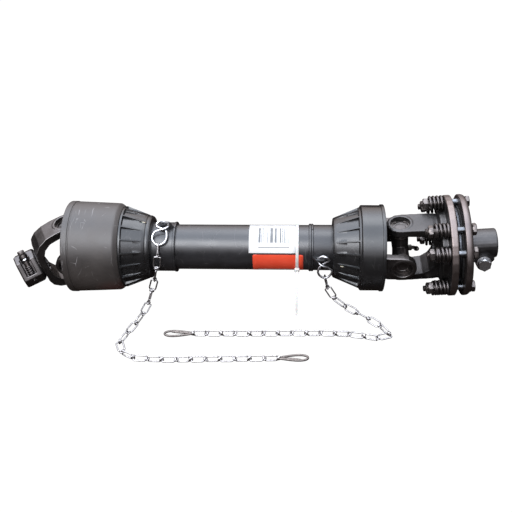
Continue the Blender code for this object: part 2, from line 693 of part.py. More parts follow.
# Crosses with their caps; the caps along y sit in the tube forks, the others in the outer ones.
left_cross = joined(cross_body(), nipple(SHOULDER_RADIUS - 0.003))
piece("left_cross", left_cross, "grey_steel", left_joint)
piece("right_cross", cross_body(), "grey_steel", right_joint)
piece("right_grease_nipple", nipple(SHOULDER_RADIUS + GAP), "brass_nipple", right_joint)
for side, joint, holder in (("left", left_joint, axis), ("right", right_joint, axis)):
    cap_mesh = bearing_cap()
    outer_holder = yoke_pivot if side == "left" else clutch
    centre_x = JOINT_LEFT_X if side == "left" else JOINT_RIGHT_X
    piece(f"{side}_cap_front", cap_mesh.copy(), "grey_steel", holder,
          moved(centre_x) @ turned("Z", -90))
    piece(f"{side}_cap_back", cap_mesh.copy(), "grey_steel", holder,
          moved(centre_x) @ turned("Z", 90))
    piece(f"{side}_cap_top", cap_mesh.copy(), "grey_steel", outer_holder, turned("Y", -90))
    piece(f"{side}_cap_bottom", cap_mesh.copy(), "grey_steel", outer_holder, turned("Y", 90))

# Forks on the two profiled tubes, and the tubes themselves.
drive_start = JOINT_LEFT_X + SOCKET_START + 0.001
drive_end = JOINT_RIGHT_X - SOCKET_START - 0.001


def pinned_fork(groove_start, profile_radius, centre, facing, lobe_turn):
    """Tube fork with its socket and the hole of its roll pin."""
    socket = loft([profile_loop(SOCKET_START, profile_radius, GAP),
                   profile_loop(SLEEVE_LENGTH + 0.01, profile_radius, GAP)],
                  matrix=turned("X", lobe_turn))
    hole = rod(ROLL_PIN_RADIUS + GAP, -0.04, 0.04, 12, moved(ROLL_PIN_X) @ turned("Z", 90))
    return cut(tube_fork(groove_start), socket, hole), moved(centre) @ facing @ turned("X", 90)


def drive_tube(radius, wall, low, high, pin_x_world):
    """Three-lobed tube with the cross hole of its roll pin."""
    mesh = loft([profile_loop(low, radius), profile_loop(high, radius),
                 profile_loop(high, radius - wall), profile_loop(low, radius - wall)], ring=True,
                matrix=turned("X", 90))
    hole = rod(ROLL_PIN_RADIUS + GAP, -0.04, 0.04, 12, moved(pin_x_world) @ turned("Y", 90))
    return cut(mesh, hole)


left_mesh, left_place = pinned_fork(LEFT_GROOVE_START, PROFILE_OUTER, JOINT_LEFT_X,
                                    turned("Z", 0), 0)
right_mesh, right_place = pinned_fork(RIGHT_GROOVE_START, PROFILE_INNER, JOINT_RIGHT_X,
                                      turned("Z", 180), 180)
piece("left_tube_fork", left_mesh, "black_steel", axis, left_place)
piece("right_tube_fork", right_mesh, "black_steel", axis, right_place)
left_pin_x = JOINT_LEFT_X + ROLL_PIN_X
right_pin_x = JOINT_RIGHT_X - ROLL_PIN_X
piece("outer_drive_tube", drive_tube(PROFILE_OUTER, PROFILE_WALL, drive_start,
                                     OUTER_DRIVE_END_X, left_pin_x), "grey_steel", axis)
piece("inner_drive_tube", drive_tube(PROFILE_INNER, INNER_WALL, INNER_DRIVE_START_X,
                                     drive_end, right_pin_x), "grey_steel", axis)
for name, place in (("left_roll_pin", left_pin_x), ("right_roll_pin", right_pin_x)):
    piece(name, rod(ROLL_PIN_RADIUS, -SLEEVE_RADIUS + 0.001, SLEEVE_RADIUS - 0.001, 10,
                    turned("Y", 90)), "grey_steel", axis, moved(place))

# Flanged fork of the clutch, one forging with its plate.
flange_profile = (
    (FORK_THROAT + 0.006, 0.0), (FORK_THROAT + 0.006, 0.030), (BASE_START, BASE_RADIUS - 0.008),
    (BASE_START + 0.003, BASE_RADIUS), (FLANGE_START, BASE_RADIUS),
    (FLANGE_START, PLATE_RADIUS - PLATE_CHAMFER), (FLANGE_START + PLATE_CHAMFER, PLATE_RADIUS),
    (FLANGE_END - PLATE_CHAMFER, PLATE_RADIUS), (FLANGE_END, PLATE_RADIUS - PLATE_CHAMFER),
    (FLANGE_END, 0.0))
flange = fork(0.046, flange_profile, 36)
flange = cut(flange,
             rod(0.019, FORK_THROAT - 0.01, FLANGE_END + 0.01, 16),
             rod(CLUTCH_HUB_RADIUS + 0.0012, FLANGE_END - RECESS_DEPTH, FLANGE_END + 0.01, 24))
pressure = lathe((
    (PRESSURE_START, CLUTCH_HUB_RADIUS + 0.0006), (PRESSURE_START, PLATE_RADIUS - PLATE_CHAMFER),
    (PRESSURE_START + PLATE_CHAMFER, PLATE_RADIUS), (PRESSURE_END - PRESSURE_EDGE, PLATE_RADIUS),
    (PRESSURE_END - PRESSURE_EDGE * 0.3, PLATE_RADIUS - PRESSURE_EDGE * 0.3),
    (PRESSURE_END, PLATE_RADIUS - PRESSURE_EDGE), (PRESSURE_END, CLUTCH_HUB_RADIUS + 0.0006)), 36)
for degrees in BOLT_ANGLES:
    y = -BOLT_CIRCLE * math.cos(math.radians(degrees))
    z = BOLT_CIRCLE * math.sin(math.radians(degrees))
    hole = rod(BOLT_RADIUS + 2 * GAP, FLANGE_START - 0.01, PRESSURE_END + 0.01, 10, moved(0, y, z))
    flange = combined(flange, hole.copy(), "DIFFERENCE")
    pressure = combined(pressure, hole, "DIFFERENCE")
piece("clutch_flange_fork", flange, "black_steel", clutch)
piece("clutch_pressure_plate", pressure, "black_steel", clutch)
for name, start in (("friction_disc_left", FLANGE_END + GAP),
                    ("friction_disc_right", CENTRE_PLATE_END + GAP)):
    piece(name, lathe(((start, DISC_BORE), (start, DISC_RADIUS),
                       (start + DISC_THICKNESS, DISC_RADIUS),
                       (start + DISC_THICKNESS, DISC_BORE)), 28), "friction_lining", clutch)

# Clutch bolts with their nuts, and the springs under the nuts.
head_start = PRESSURE_END + GAP
nut_end = FLANGE_START - SPRING_LENGTH - 2 * GAP
bolt_loops = [
    hex_loop(head_start + BOLT_HEAD, BOLT_FLATS), hex_loop(head_start, BOLT_FLATS),
    circle_loop(head_start, BOLT_RADIUS, 6), circle_loop(nut_end, BOLT_RADIUS, 6),
    hex_loop(nut_end, BOLT_FLATS), hex_loop(nut_end - NUT_HEIGHT, BOLT_FLATS),
    circle_loop(nut_end - NUT_HEIGHT, BOLT_RADIUS, 6), circle_loop(BOLT_TIP, BOLT_RADIUS, 6)]
steps = 7 * SPRING_TURNS
for number, degrees in enumerate(BOLT_ANGLES, 1):
    y = -BOLT_CIRCLE * math.cos(math.radians(degrees))
    z = BOLT_CIRCLE * math.sin(math.radians(degrees))
    piece(f"clutch_bolt_{number}", loft(bolt_loops), "black_steel", clutch, moved(0, y, z))
    coil_start = nut_end + GAP + SPRING_WIRE
    rise = SPRING_LENGTH - 2 * SPRING_WIRE
    piece(f"clutch_spring_{number}", tube_along([
        (coil_start + rise * i / steps,
         SPRING_RADIUS * math.cos(math.tau * SPRING_TURNS * i / steps),
         SPRING_RADIUS * math.sin(math.tau * SPRING_TURNS * i / steps))
        for i in range(steps + 1)], SPRING_WIRE, 4), "black_spring", clutch, moved(0, y, z))

# Clutch hub: centre plate, splined tube and the boss of the clamp bolt.
hub = lathe((
    (CLUTCH_HUB_START, 0.0), (CLUTCH_HUB_START, CLUTCH_HUB_RADIUS),
    (CENTRE_PLATE_START, CLUTCH_HUB_RADIUS), (CENTRE_PLATE_START, CENTRE_PLATE_RADIUS),
    (CENTRE_PLATE_END, CENTRE_PLATE_RADIUS), (CENTRE_PLATE_END, CLUTCH_HUB_RADIUS),
    (CLUTCH_HUB_END - 0.0015, CLUTCH_HUB_RADIUS), (CLUTCH_HUB_END, CLUTCH_HUB_RADIUS - 0.0015),
    (CLUTCH_HUB_END, 0.0)), 28)
# The clamp bolt runs along local x of this place, to the viewer and up.
clamp = (moved(CLAMP_AXIAL) @ turned("X", -CLAMP_TURN) @ moved(0.0, 0.0, -CLAMP_OFFSET)
         @ turned("Z", -90))
half_boss = CLAMP_BOSS_LENGTH / 2
boss = prism([(CLAMP_BOSS_RADIUS * math.cos(math.radians(a)),
               CLAMP_BOSS_RADIUS * math.sin(math.radians(a))) for a in range(180, 361, 20)]
             + [(CLAMP_BOSS_AXIAL / 2, 0.004), (CLAMP_BOSS_AXIAL / 2, CLAMP_OFFSET - 0.008),
                (-CLAMP_BOSS_AXIAL / 2, CLAMP_OFFSET - 0.008), (-CLAMP_BOSS_AXIAL / 2, 0.004)],
             -half_boss, half_boss, moved(CLAMP_AXIAL) @ turned("X", -CLAMP_TURN)
             @ moved(0.0, 0.0, -CLAMP_OFFSET) @ turned("X", 90))
hub = cut(joined(hub, boss), splined_bore(CLUTCH_HUB_START - 0.01, CLUTCH_HUB_END + 0.01),
          rod(CLAMP_BOLT_RADIUS + GAP, -0.05, 0.05, 12, clamp))
piece("clutch_hub", hub, "black_steel", clutch)
washer_start = half_boss + GAP
head = washer_start + WASHER_THICKNESS + GAP
nut = -half_boss - GAP
piece("clamp_bolt", loft([
    hex_loop(head + CLAMP_HEAD, CLAMP_FLATS, 12), hex_loop(head, CLAMP_FLATS, 12),
    circle_loop(head, CLAMP_BOLT_RADIUS, 12), circle_loop(nut - CLAMP_NUT - 0.003,
                                                           CLAMP_BOLT_RADIUS, 12)]),
    "zinc", clutch, clamp)
piece("clamp_washer", lathe((
    (washer_start, CLAMP_BOLT_RADIUS + GAP), (washer_start, WASHER_RADIUS),
    (washer_start + WASHER_THICKNESS, WASHER_RADIUS),
    (washer_start + WASHER_THICKNESS, CLAMP_BOLT_RADIUS + GAP)), 16), "zinc", clutch, clamp)
piece("clamp_nut", loft([
    hex_loop(nut, CLAMP_FLATS, 12), hex_loop(nut - CLAMP_NUT, CLAMP_FLATS, 12),
    circle_loop(nut - CLAMP_NUT, CLAMP_BOLT_RADIUS + GAP, 12),
    circle_loop(nut, CLAMP_BOLT_RADIUS + GAP, 12)], ring=True), "zinc", clutch, clamp)

# Guard tubes; the outer one ends in a stop ring.
bore = GUARD_OUTER_RADIUS - GUARD_WALL
piece("outer_guard_tube", lathe((
    (GUARD_TUBE_START_X, bore), (GUARD_TUBE_START_X, GUARD_OUTER_RADIUS),
    (GUARD_TUBE_END_X - END_RING_WIDTH, GUARD_OUTER_RADIUS),
    (GUARD_TUBE_END_X - END_RING_WIDTH, END_RING_RADIUS),
    (GUARD_TUBE_END_X, END_RING_RADIUS), (GUARD_TUBE_END_X, bore)), 32), "black_plastic", axis)
piece("inner_guard_tube", lathe((
    (INNER_GUARD_START_X, GUARD_INNER_RADIUS - GUARD_INNER_WALL),
    (INNER_GUARD_START_X, GUARD_INNER_RADIUS), (INNER_GUARD_END_X, GUARD_INNER_RADIUS),
    (INNER_GUARD_END_X, GUARD_INNER_RADIUS - GUARD_INNER_WALL)), 32), "black_plastic", axis)


def at_angle(degrees):
    """Turn from 'up' (z) to an angle measured up from the viewer's side, about x."""
    return turned("X", 90.0 - degrees)


def with_lug(body, x, degrees, base_radius, hole_x):
    """Add the ear that the chain's ring hooks into."""
    wide, top = LUG_WIDTH / 2, LUG_TOP_WIDTH / 2
    outline = [(-wide, base_radius - 0.0025), (wide, base_radius - 0.0025),
               (wide, base_radius + 0.002), (top, LUG_TOP_RADIUS - 0.0015),
               (top - 0.003, LUG_TOP_RADIUS), (-top + 0.003, LUG_TOP_RADIUS),
               (-top, LUG_TOP_RADIUS - 0.0015), (-wide, base_radius + 0.002)]
    place = at_angle(degrees) @ moved(x) @ turned("X", 90)
    ear = prism(outline, -LUG_THICKNESS / 2, LUG_THICKNESS / 2, place)
    hole = rod(LUG_HOLE_RADIUS, -0.01, 0.01, 12,
               at_angle(degrees) @ moved(hole_x, 0.0, RING_HOLE_RADIUS) @ turned("Z", 90))
    return cut(joined(body, ear), hole)


def with_pips(body, x, radius):
    """Two small moulding pips, on top and below."""
    for degrees in (90, -90):
        pip = rod(PIP_RADIUS, radius - 0.002, radius + 0.0016, 8,
                  at_angle(degrees) @ moved(x) @ turned("Y", -90))
        body = joined(body, pip)
    return body


# Collars: they carry the tubes and the cones, and run on the bearing rings.
collar = lathe((
    (LEFT_COLLAR_START_X, COLLAR_BORE), (LEFT_COLLAR_START_X, LEFT_COLLAR_RADIUS),
    (LEFT_COLLAR_END_X - LEFT_RIDGE_WIDTH, LEFT_COLLAR_RADIUS),
    (LEFT_COLLAR_END_X - LEFT_RIDGE_WIDTH, LEFT_RIDGE_RADIUS),
    (LEFT_COLLAR_END_X, LEFT_RIDGE_RADIUS), (LEFT_COLLAR_END_X, COLLAR_BORE)), 32)
left_hole_x = LEFT_LUG_X + RING_HOLE_SHIFT
collar = with_lug(collar, LEFT_LUG_X, LEFT_LUG_ANGLE, LEFT_COLLAR_RADIUS, left_hole_x)
piece("left_collar", with_pips(collar, LEFT_COLLAR_END_X - LEFT_RIDGE_WIDTH / 2, LEFT_RIDGE_RADIUS),
      "black_plastic", axis)
right_bore = GUARD_INNER_RADIUS + GAP
collar = lathe((
    (RIGHT_COLLAR_START_X, right_bore), (RIGHT_COLLAR_START_X, END_RING_RADIUS),
    (RIGHT_COLLAR_START_X + 0.003, END_RING_RADIUS), (RIGHT_COLLAR_START_X + 0.003, RIGHT_COLLAR_RADIUS),
    (RIGHT_COLLAR_END_X, RIGHT_COLLAR_RADIUS), (RIGHT_COLLAR_END_X, right_bore)), 32)
right_hole_x = RIGHT_LUG_X - RING_HOLE_SHIFT
collar = with_lug(collar, RIGHT_LUG_X, RIGHT_LUG_ANGLE, RIGHT_COLLAR_RADIUS, right_hole_x)
piece("right_collar", with_pips(collar, RIGHT_COLLAR_START_X + 0.0015, END_RING_RADIUS),
      "black_plastic", axis)
groove_radius = SLEEVE_RADIUS - GROOVE_DEPTH
for name, sign, centre, groove_start, outside in (
        ("left_bearing_ring", 1, JOINT_LEFT_X, LEFT_GROOVE_START, COLLAR_BORE),
        ("right_bearing_ring", -1, JOINT_RIGHT_X, RIGHT_GROOVE_START, right_bore)):
    start = centre + sign * (groove_start + RING_PLAY)
    end = centre + sign * (groove_start + GROOVE_WIDTH - RING_PLAY)
    piece(name, lathe(((start, groove_radius + GAP), (start, outside - GAP),
                       (end, outside - GAP), (end, groove_radius + GAP)), 24),
          "nylon_ring", axis)

# Bell on the left: a cup with a lip, and a back wall against the cone.
inner = SHELL
bell_profile = (
    (MOUTH_X, MOUTH_RADIUS), (MOUTH_X + MOUTH_LIP, MOUTH_RADIUS),
    (MOUTH_X + MOUTH_LIP, MOUTH_RADIUS - LIP_STEP),
    (BELL_BACK_X - BELL_SHOULDER, BELL_BACK_RADIUS),
    (BELL_BACK_X - BELL_SHOULDER * 0.3, BELL_BACK_RADIUS - BELL_SHOULDER * 0.3),
    (BELL_BACK_X, BELL_BACK_RADIUS - BELL_SHOULDER), (BELL_BACK_X, BELL_BACK_BORE),
    (BELL_BACK_X - inner, BELL_BACK_BORE), (BELL_BACK_X - inner, BELL_BACK_RADIUS - BELL_SHOULDER - inner),
    (BELL_BACK_X - BELL_SHOULDER, BELL_BACK_RADIUS - inner - 0.001),
    (MOUTH_X, MOUTH_RADIUS - inner - LIP_STEP))
piece("left_bell", lathe(bell_profile, 40), "black_plastic", axis)


def with_ribs(body, x_wide, r_wide, x_narrow, r_narrow):
    """Raise straight ribs along the outside of a cone."""
    length = x_narrow - x_wide
    slope = math.degrees(math.atan2(r_wide - r_narrow, abs(length)))
    slant = math.hypot(length, r_wide - r_narrow)
    middle = moved((x_wide + x_narrow) / 2, 0.0, (r_wide + r_narrow) / 2)
    lean = turned("Y", slope if length > 0 else -slope)
    for k in range(RIB_COUNT):
        rib = block((-slant / 2, -RIB_WIDTH / 2, -0.0012), (slant / 2, RIB_WIDTH / 2, RIB_HEIGHT),
                    turned("X", 360.0 * (k + 0.5) / RIB_COUNT) @ middle @ lean)
        body = joined(body, rib)
    return body


# Ribbed cones; the back walls sit round the collars.
cone_start = BELL_BACK_X + GAP
ring_x = LEFT_CONE_END_X - CONE_END_RING
seat = LEFT_COLLAR_RADIUS + GAP
cone = lathe((
    (cone_start, LEFT_CONE_WIDE), (cone_start + 0.003, LEFT_CONE_WIDE), (ring_x, LEFT_CONE_NARROW),
    (LEFT_CONE_END_X, LEFT_CONE_NARROW - 0.001), (LEFT_CONE_END_X, seat),
    (LEFT_CONE_END_X - SHELL, seat), (LEFT_CONE_END_X - SHELL, LEFT_CONE_NARROW - SHELL - 0.0015),
    (ring_x - 0.001, LEFT_CONE_NARROW - SHELL), (cone_start, LEFT_CONE_WIDE - SHELL)), 32)
piece("left_cone", with_ribs(cone, cone_start + 0.004, LEFT_CONE_WIDE - 0.0006, ring_x - 0.001,
                             LEFT_CONE_NARROW + 0.0002), "black_plastic", axis)
seat = RIGHT_COLLAR_RADIUS + GAP
rim = RIGHT_RIM_X
cone = lathe((
    (RIGHT_CONE_START_X, seat), (RIGHT_CONE_START_X, RIGHT_CONE_NARROW - 0.001),
    (RIGHT_CONE_START_X + 0.001, RIGHT_CONE_NARROW), (rim, RIGHT_CONE_WIDE),
    (rim, RIM_RADIUS - 0.002), (rim + 0.002, RIM_RADIUS), (RIGHT_RIM_END_X - 0.005, RIM_RADIUS),
    (RIGHT_RIM_END_X - 0.005, RIM_RADIUS + RIM_LIP), (RIGHT_RIM_END_X, RIM_RADIUS + RIM_LIP),
    (RIGHT_RIM_END_X, RIM_RADIUS - SHELL), (rim + 0.002, RIM_RADIUS - SHELL),
    (rim, RIGHT_CONE_WIDE - SHELL), (RIGHT_CONE_START_X + SHELL, RIGHT_CONE_NARROW - SHELL + 0.001),
    (RIGHT_CONE_START_X + SHELL, seat)), 32)
piece("right_cone", with_ribs(cone, rim - 0.0015, RIGHT_CONE_WIDE - 0.0008,
                              RIGHT_CONE_START_X + 0.004, RIGHT_CONE_NARROW + 0.0012),
      "black_plastic", axis)

# Cable tie round the outer guard tube: band, head and tail in one moulding.
tie_in = GUARD_OUTER_RADIUS + GAP
tie_out = tie_in + TIE_THICKNESS
low, high = TIE_X - TIE_WIDTH / 2, TIE_X + TIE_WIDTH / 2
band = lathe(((low, tie_in), (low, tie_out), (high, tie_out), (high, tie_in)), 32)
tie_head = block((TIE_X - TIE_HEAD / 2, -TIE_HEAD / 2, tie_in + 0.0004),
                 (TIE_X + TIE_HEAD / 2, TIE_HEAD / 2, tie_in + 0.005), at_angle(TIE_ANGLE))
tail_route = [(TIE_TAIL * k / 6, 0.0045 * math.sin(math.pi * k / 6)) for k in range(7)]
tail_loops = []
for along, bow in tail_route:
    narrow = TIE_WIDTH / 2 * (1.0 - 0.35 * along / TIE_TAIL)
    tail_loops.append([(along, -narrow, bow - TIE_THICKNESS / 2),
                       (along, narrow, bow - TIE_THICKNESS / 2),
                       (along, narrow, bow + TIE_THICKNESS / 2),
                       (along, -narrow, bow + TIE_THICKNESS / 2)])
head_angle = math.radians(TIE_ANGLE)
head_reach = tie_in + 0.003
tail_drop = 48.0
tail_place = (moved(TIE_X, -head_reach * math.cos(head_angle), head_reach * math.sin(head_angle))
              @ turned("Z", -90) @ turned("Y", tail_drop))
piece("cable_tie", joined(band, tie_head, triangles(loft(tail_loops, matrix=tail_place))),
      "white_plastic", axis)


# Rings: round wire through the ear's hole, over its shoulder and round a drop shape.
def ring_points(slope):
    """Route of a ring as (along, round, out) from its ear; the lower part leans by slope."""
    hole = RING_HOLE_RADIUS

    def level(distance):
        return hole - slope * distance
    return (
        (0.0, 0.0, hole), (-0.0015, 0.0062, hole + 0.0003),
        (-0.0075, 0.0105, max(level(0.0105), hole - 0.0038) + 0.0042),
        (-0.0160, 0.0150, max(level(0.0150), hole - 0.0038) + 0.0012),
        (-0.0230, 0.0220, level(0.0220)),
        (-0.0195, 0.0310, level(0.0310)), (-0.0120, 0.0355, level(0.0355)),
        (-0.0035, 0.0310, level(0.0310)), (-0.0005, 0.0230, level(0.0230)),
        (-0.0040, 0.0140, hole - 0.0036), (-0.0110, 0.0080, hole - 0.0034),
        (-0.0175, 0.0035, hole - 0.0022), (-0.0178, 0.0, hole + 0.0012),
        (-0.0130, -0.0050, hole + 0.0035), (-0.0060, -0.0056, hole + 0.0018))


def hung_ring(points, hole_x, degrees, mirror):
    """Bend a ring's route round the shaft at its ear."""
    angle = math.radians(degrees)
    out = Vector((0.0, -math.cos(angle), math.sin(angle)))
    down = Vector((0.0, -math.sin(angle), -math.cos(angle)))
    return [Vector((hole_x + mirror * along, 0.0, 0.0)) + down * distance + out * height
            for along, distance, height in points]


def chain_links(route, hole_x, start, count):
    """Give each link's centre, direction and width along a smooth route on the ground."""
    ground = [Vector((x + hole_x, y - GUARD_OUTER_RADIUS, z - SHAFT_HEIGHT)) for x, y, z in route]
    curve = smooth_route([start] + ground, 24)
    first = LINK_LENGTH / 2 - 2 * LINK_WIRE - RING_WIRE - GAP - 0.0002
    here = curve[0]
    marks = [here + (curve[1] - here).normalized() * (first - LINK_PITCH / 2)]
    index = 1
    while len(marks) < count + 1:
        while index < len(curve) and (curve[index] - marks[-1]).length < LINK_PITCH:
            index += 1
        a, b = curve[index - 1], curve[index]
        low, high = 0.0, 1.0
        for _ in range(30):
            middle = (low + high) / 2
            if (a.lerp(b, middle) - marks[-1]).length < LINK_PITCH:
                low = middle
            else:
                high = middle
        marks.append(a.lerp(b, high))
    links = []
    for i in range(count):
        along = (marks[i + 1] - marks[i]).normalized()
        centre = (marks[i] + marks[i + 1]) / 2
        share = min(max((i - 1) / 6, 0.0), 1.0)
        share = share * share * (3 - 2 * share)
        reference = Vector((0.0, -1.0, 0.0)) * (1 - share) + Vector((0.0, 0.0, 1.0)) * share
        width = (reference - along * reference.dot(along)).normalized()
        if i % 2:
            width = along.cross(width)
        links.append((centre, along, width))
    return links


def link_mesh(centre, along, width):
    """One link: wire bent to a long eight-sided eye."""
    half_length = LINK_LENGTH / 2 - LINK_WIRE
    half_width = LINK_WIDTH / 2 - LINK_WIRE
    corner = half_width * 0.62
    shape = ((half_length, half_width - corner), (half_length - corner, half_width),
             (-half_length + corner, half_width), (-half_length, half_width - corner))
    points = [centre + along * a + width * w for a, w in shape]
    points += [centre - along * a - width * w for a, w in shape]
    return triangles(tube_along(points, LINK_WIRE, 4, closed=True))


def hook_points(centre, along, width):
    """Snap hook: a pear-shaped eye, narrow where the chain holds it."""
    points = []
    for k in range(16):
        angle = math.tau * k / 16
        a = HOOK_LENGTH / 2 - HOOK_WIRE
        swell = 0.72 + 0.28 * (1 - math.cos(angle)) / 2
        points.append(centre - along * a * math.cos(angle)
                      + width * (HOOK_WIDTH / 2 - HOOK_WIRE) * swell * math.sin(angle))
    return points


for side, hole_x, degrees, mirror, slope, route in (
        ("left", left_hole_x, LEFT_LUG_ANGLE, 1.0, 0.375, LEFT_ROUTE),
        ("right", right_hole_x, RIGHT_LUG_ANGLE, -1.0, 0.150, RIGHT_ROUTE)):
    points = hung_ring(ring_points(slope), hole_x, degrees, mirror)
    bottom = points[6]
    piece(f"{side}_ring", tube_along(smooth_route(points, 2, closed=True), RING_WIRE, 5,
                                     closed=True), "zinc", axis)
    links = chain_links(route, hole_x, bottom, LINK_COUNT)
    meshes = [link_mesh(*link) for link in links]
    piece(f"{side}_chain", joined(*meshes), "zinc", axis)
    centre, along, width = links[-1]
    eye = LINK_LENGTH / 2 - 2 * LINK_WIRE - HOOK_WIRE - GAP - 0.0002
    middle = centre + along * (eye + HOOK_LENGTH / 2 - HOOK_WIRE)
    piece(f"{side}_snap_hook", tube_along(hook_points(middle, along, along.cross(width)),
                                          HOOK_WIRE, 5, closed=True), "zinc", axis)
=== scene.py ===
# %% [markdown]
# # A tractor drive shaft, dressed for its picture
#
# The shaft carries power from a tractor to a machine. A black plastic guard covers two
# telescoping tubes, a universal joint sits at each end, and a friction clutch with eight springs
# protects the machine. The measured solids are loaded first, and never move. Everything after
# that makes their surfaces smoother, richer and better finished.

# %% Load the solids
import json
import math

import bmesh
import bpy
import numpy as np
from mathutils import Matrix, Vector

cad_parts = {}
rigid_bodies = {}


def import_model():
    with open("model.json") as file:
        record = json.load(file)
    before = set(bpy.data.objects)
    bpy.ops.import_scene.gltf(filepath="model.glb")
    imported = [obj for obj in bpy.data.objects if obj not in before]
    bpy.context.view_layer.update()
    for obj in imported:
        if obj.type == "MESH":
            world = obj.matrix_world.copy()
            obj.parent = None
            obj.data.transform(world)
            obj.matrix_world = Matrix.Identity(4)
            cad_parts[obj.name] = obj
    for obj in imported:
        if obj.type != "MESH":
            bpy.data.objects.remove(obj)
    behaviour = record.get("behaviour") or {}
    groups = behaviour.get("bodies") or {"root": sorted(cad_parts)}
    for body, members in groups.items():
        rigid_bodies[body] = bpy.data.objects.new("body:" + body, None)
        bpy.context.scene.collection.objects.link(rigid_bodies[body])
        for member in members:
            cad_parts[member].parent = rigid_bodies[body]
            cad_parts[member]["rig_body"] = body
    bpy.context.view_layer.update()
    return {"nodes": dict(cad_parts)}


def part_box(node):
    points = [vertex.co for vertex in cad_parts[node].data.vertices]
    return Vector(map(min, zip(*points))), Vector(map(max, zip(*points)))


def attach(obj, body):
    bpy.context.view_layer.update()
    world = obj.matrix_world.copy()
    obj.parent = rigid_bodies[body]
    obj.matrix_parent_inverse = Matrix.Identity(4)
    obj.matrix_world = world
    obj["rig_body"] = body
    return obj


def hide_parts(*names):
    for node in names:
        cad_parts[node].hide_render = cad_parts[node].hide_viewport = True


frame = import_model()

# %% [markdown]
# ## The camera
#
# The picture was taken from the viewer's side, looking down at about forty two degrees. Four
# values place it: where the eye stands, how far it turns left, how far it looks down, and how
# much the picture leans. A direction is built from the angles with sines and cosines, so the
# numbers can be read and changed.

# %% Camera
EYE = Vector((0.0776, -0.8979, 0.9046))
TURN, DOWN, LEAN = (math.radians(a) for a in (-4.313, 41.589, -2.474))
LENS_OVER_FILM = 761 / 512          # focal length over the width of the film

ahead = Vector((math.sin(TURN) * math.cos(DOWN), math.cos(TURN) * math.cos(DOWN), -math.sin(DOWN)))
level = Vector((math.cos(TURN), -math.sin(TURN), 0.0))
overhead = level.cross(ahead)
right = math.cos(LEAN) * level + math.sin(LEAN) * overhead
up = -math.sin(LEAN) * level + math.cos(LEAN) * overhead
camera_data = bpy.data.cameras.new("camera")
camera_data.sensor_width = 36.0
camera_data.lens = 36.0 * LENS_OVER_FILM
camera_data.clip_start = 0.01
camera = bpy.data.objects.new("camera", camera_data)
camera.matrix_world = Matrix.Translation(EYE) @ Matrix((right, up, -ahead)).transposed().to_4x4()
bpy.context.scene.collection.objects.link(camera)
bpy.context.scene.camera = camera
print("lens:", round(camera_data.lens, 1), "mm")

# %% [markdown]
# ## Places on the shaft
#
# Each group of pieces is drawn along its own x axis and then placed. The guard lies along the
# shaft. The tractor yoke hangs down and turns to the viewer, and the clutch tips up a little,
# because its rim and the bell both stand on the floor.

# %% Places
def turned(axis, degrees):
    """Rotation matrix about one axis."""
    return Matrix.Rotation(math.radians(degrees), 4, axis)


def moved(x=0.0, y=0.0, z=0.0):
    """Translation matrix."""
    return Matrix.Translation((x, y, z))


SHAFT_HEIGHT = 0.076                # the shaft's axis above the floor
SHAFT = moved(-0.0014, 0.0553, SHAFT_HEIGHT)
LEFT_JOINT_X, RIGHT_JOINT_X = -0.296, 0.245
LEFT_CROSS = SHAFT @ moved(LEFT_JOINT_X) @ turned("Y", -12.0)
YOKE = LEFT_CROSS @ turned("Z", 28.0) @ turned("Z", 180.0)
CLUTCH = SHAFT @ moved(RIGHT_JOINT_X) @ turned("Y", -4.8628)
PIN = YOKE @ turned("X", 30.0) @ moved(0.083, 0.0210, 0.0) @ turned("Y", -90)
print("clutch centre:", [round(x, 4) for x in CLUTCH.translation])

# %% [markdown]
# ## From numbers to a mesh
#
# A surface here is a grid of points: m rows along it and n points in each row. Neighbouring
# points make a quad. Where a surface closes on itself, the last row or column joins the first.
# A grid that ends on its axis ends in a row of equal points, which are merged to one pole.

# %% Grids and meshes
def surface(points, close_rows=False, close_columns=True):
    """Corners and quads of a grid: quad (i, j) joins points (i, j), (i, j+1), (i+1, j+1), (i+1, j)."""
    m, n = points.shape[:2]
    i = np.arange(m if close_rows else m - 1)[:, None]
    j = np.arange(n if close_columns else n - 1)[None, :]
    after_i, after_j = (i + 1) % m, (j + 1) % n
    quads = np.stack([i * n + j, i * n + after_j, after_i * n + after_j, after_i * n + j], -1)
    return points.reshape(-1, 3), quads.reshape(-1, 4)


def capped(points):
    """Add a row at each end that is the middle of the end row, so that the ends close."""
    first = np.broadcast_to(points[:1].mean(1, keepdims=True), points[:1].shape)
    last = np.broadcast_to(points[-1:].mean(1, keepdims=True), points[-1:].shape)
    return np.concatenate([first, points, last])


def placed(shell, place):
    """Move a shell's points by a matrix: p' = R p + t."""
    points, quads = shell
    matrix = np.array(place)
    return points @ matrix[:3, :3].T + matrix[:3, 3], quads


def mesh_of(name, shells, merge=True):
    """One mesh of several closed shells, with doubles merged and faces turned outwards."""
    counts = np.cumsum([0] + [len(points) for points, _ in shells])
    corners = np.concatenate([points for points, _ in shells])
    quads = np.concatenate([faces + start for (_, faces), start in zip(shells, counts)])
    mesh = bpy.data.meshes.new(name)
    mesh.vertices.add(len(corners))
    mesh.vertices.foreach_set("co", corners.astype(np.float32).ravel())
    mesh.loops.add(quads.size)
    mesh.loops.foreach_set("vertex_index", quads.astype(np.int32).ravel())
    mesh.polygons.add(len(quads))
    mesh.polygons.foreach_set("loop_start", np.arange(0, quads.size, 4, dtype=np.int32))
    mesh.update(calc_edges=True)
    if merge:
        bm = bmesh.new()
        bm.from_mesh(mesh)
        bmesh.ops.remove_doubles(bm, verts=bm.verts, dist=1e-7)
        bmesh.ops.recalc_face_normals(bm, faces=bm.faces)
        bm.to_mesh(mesh)
        bm.free()
    return mesh


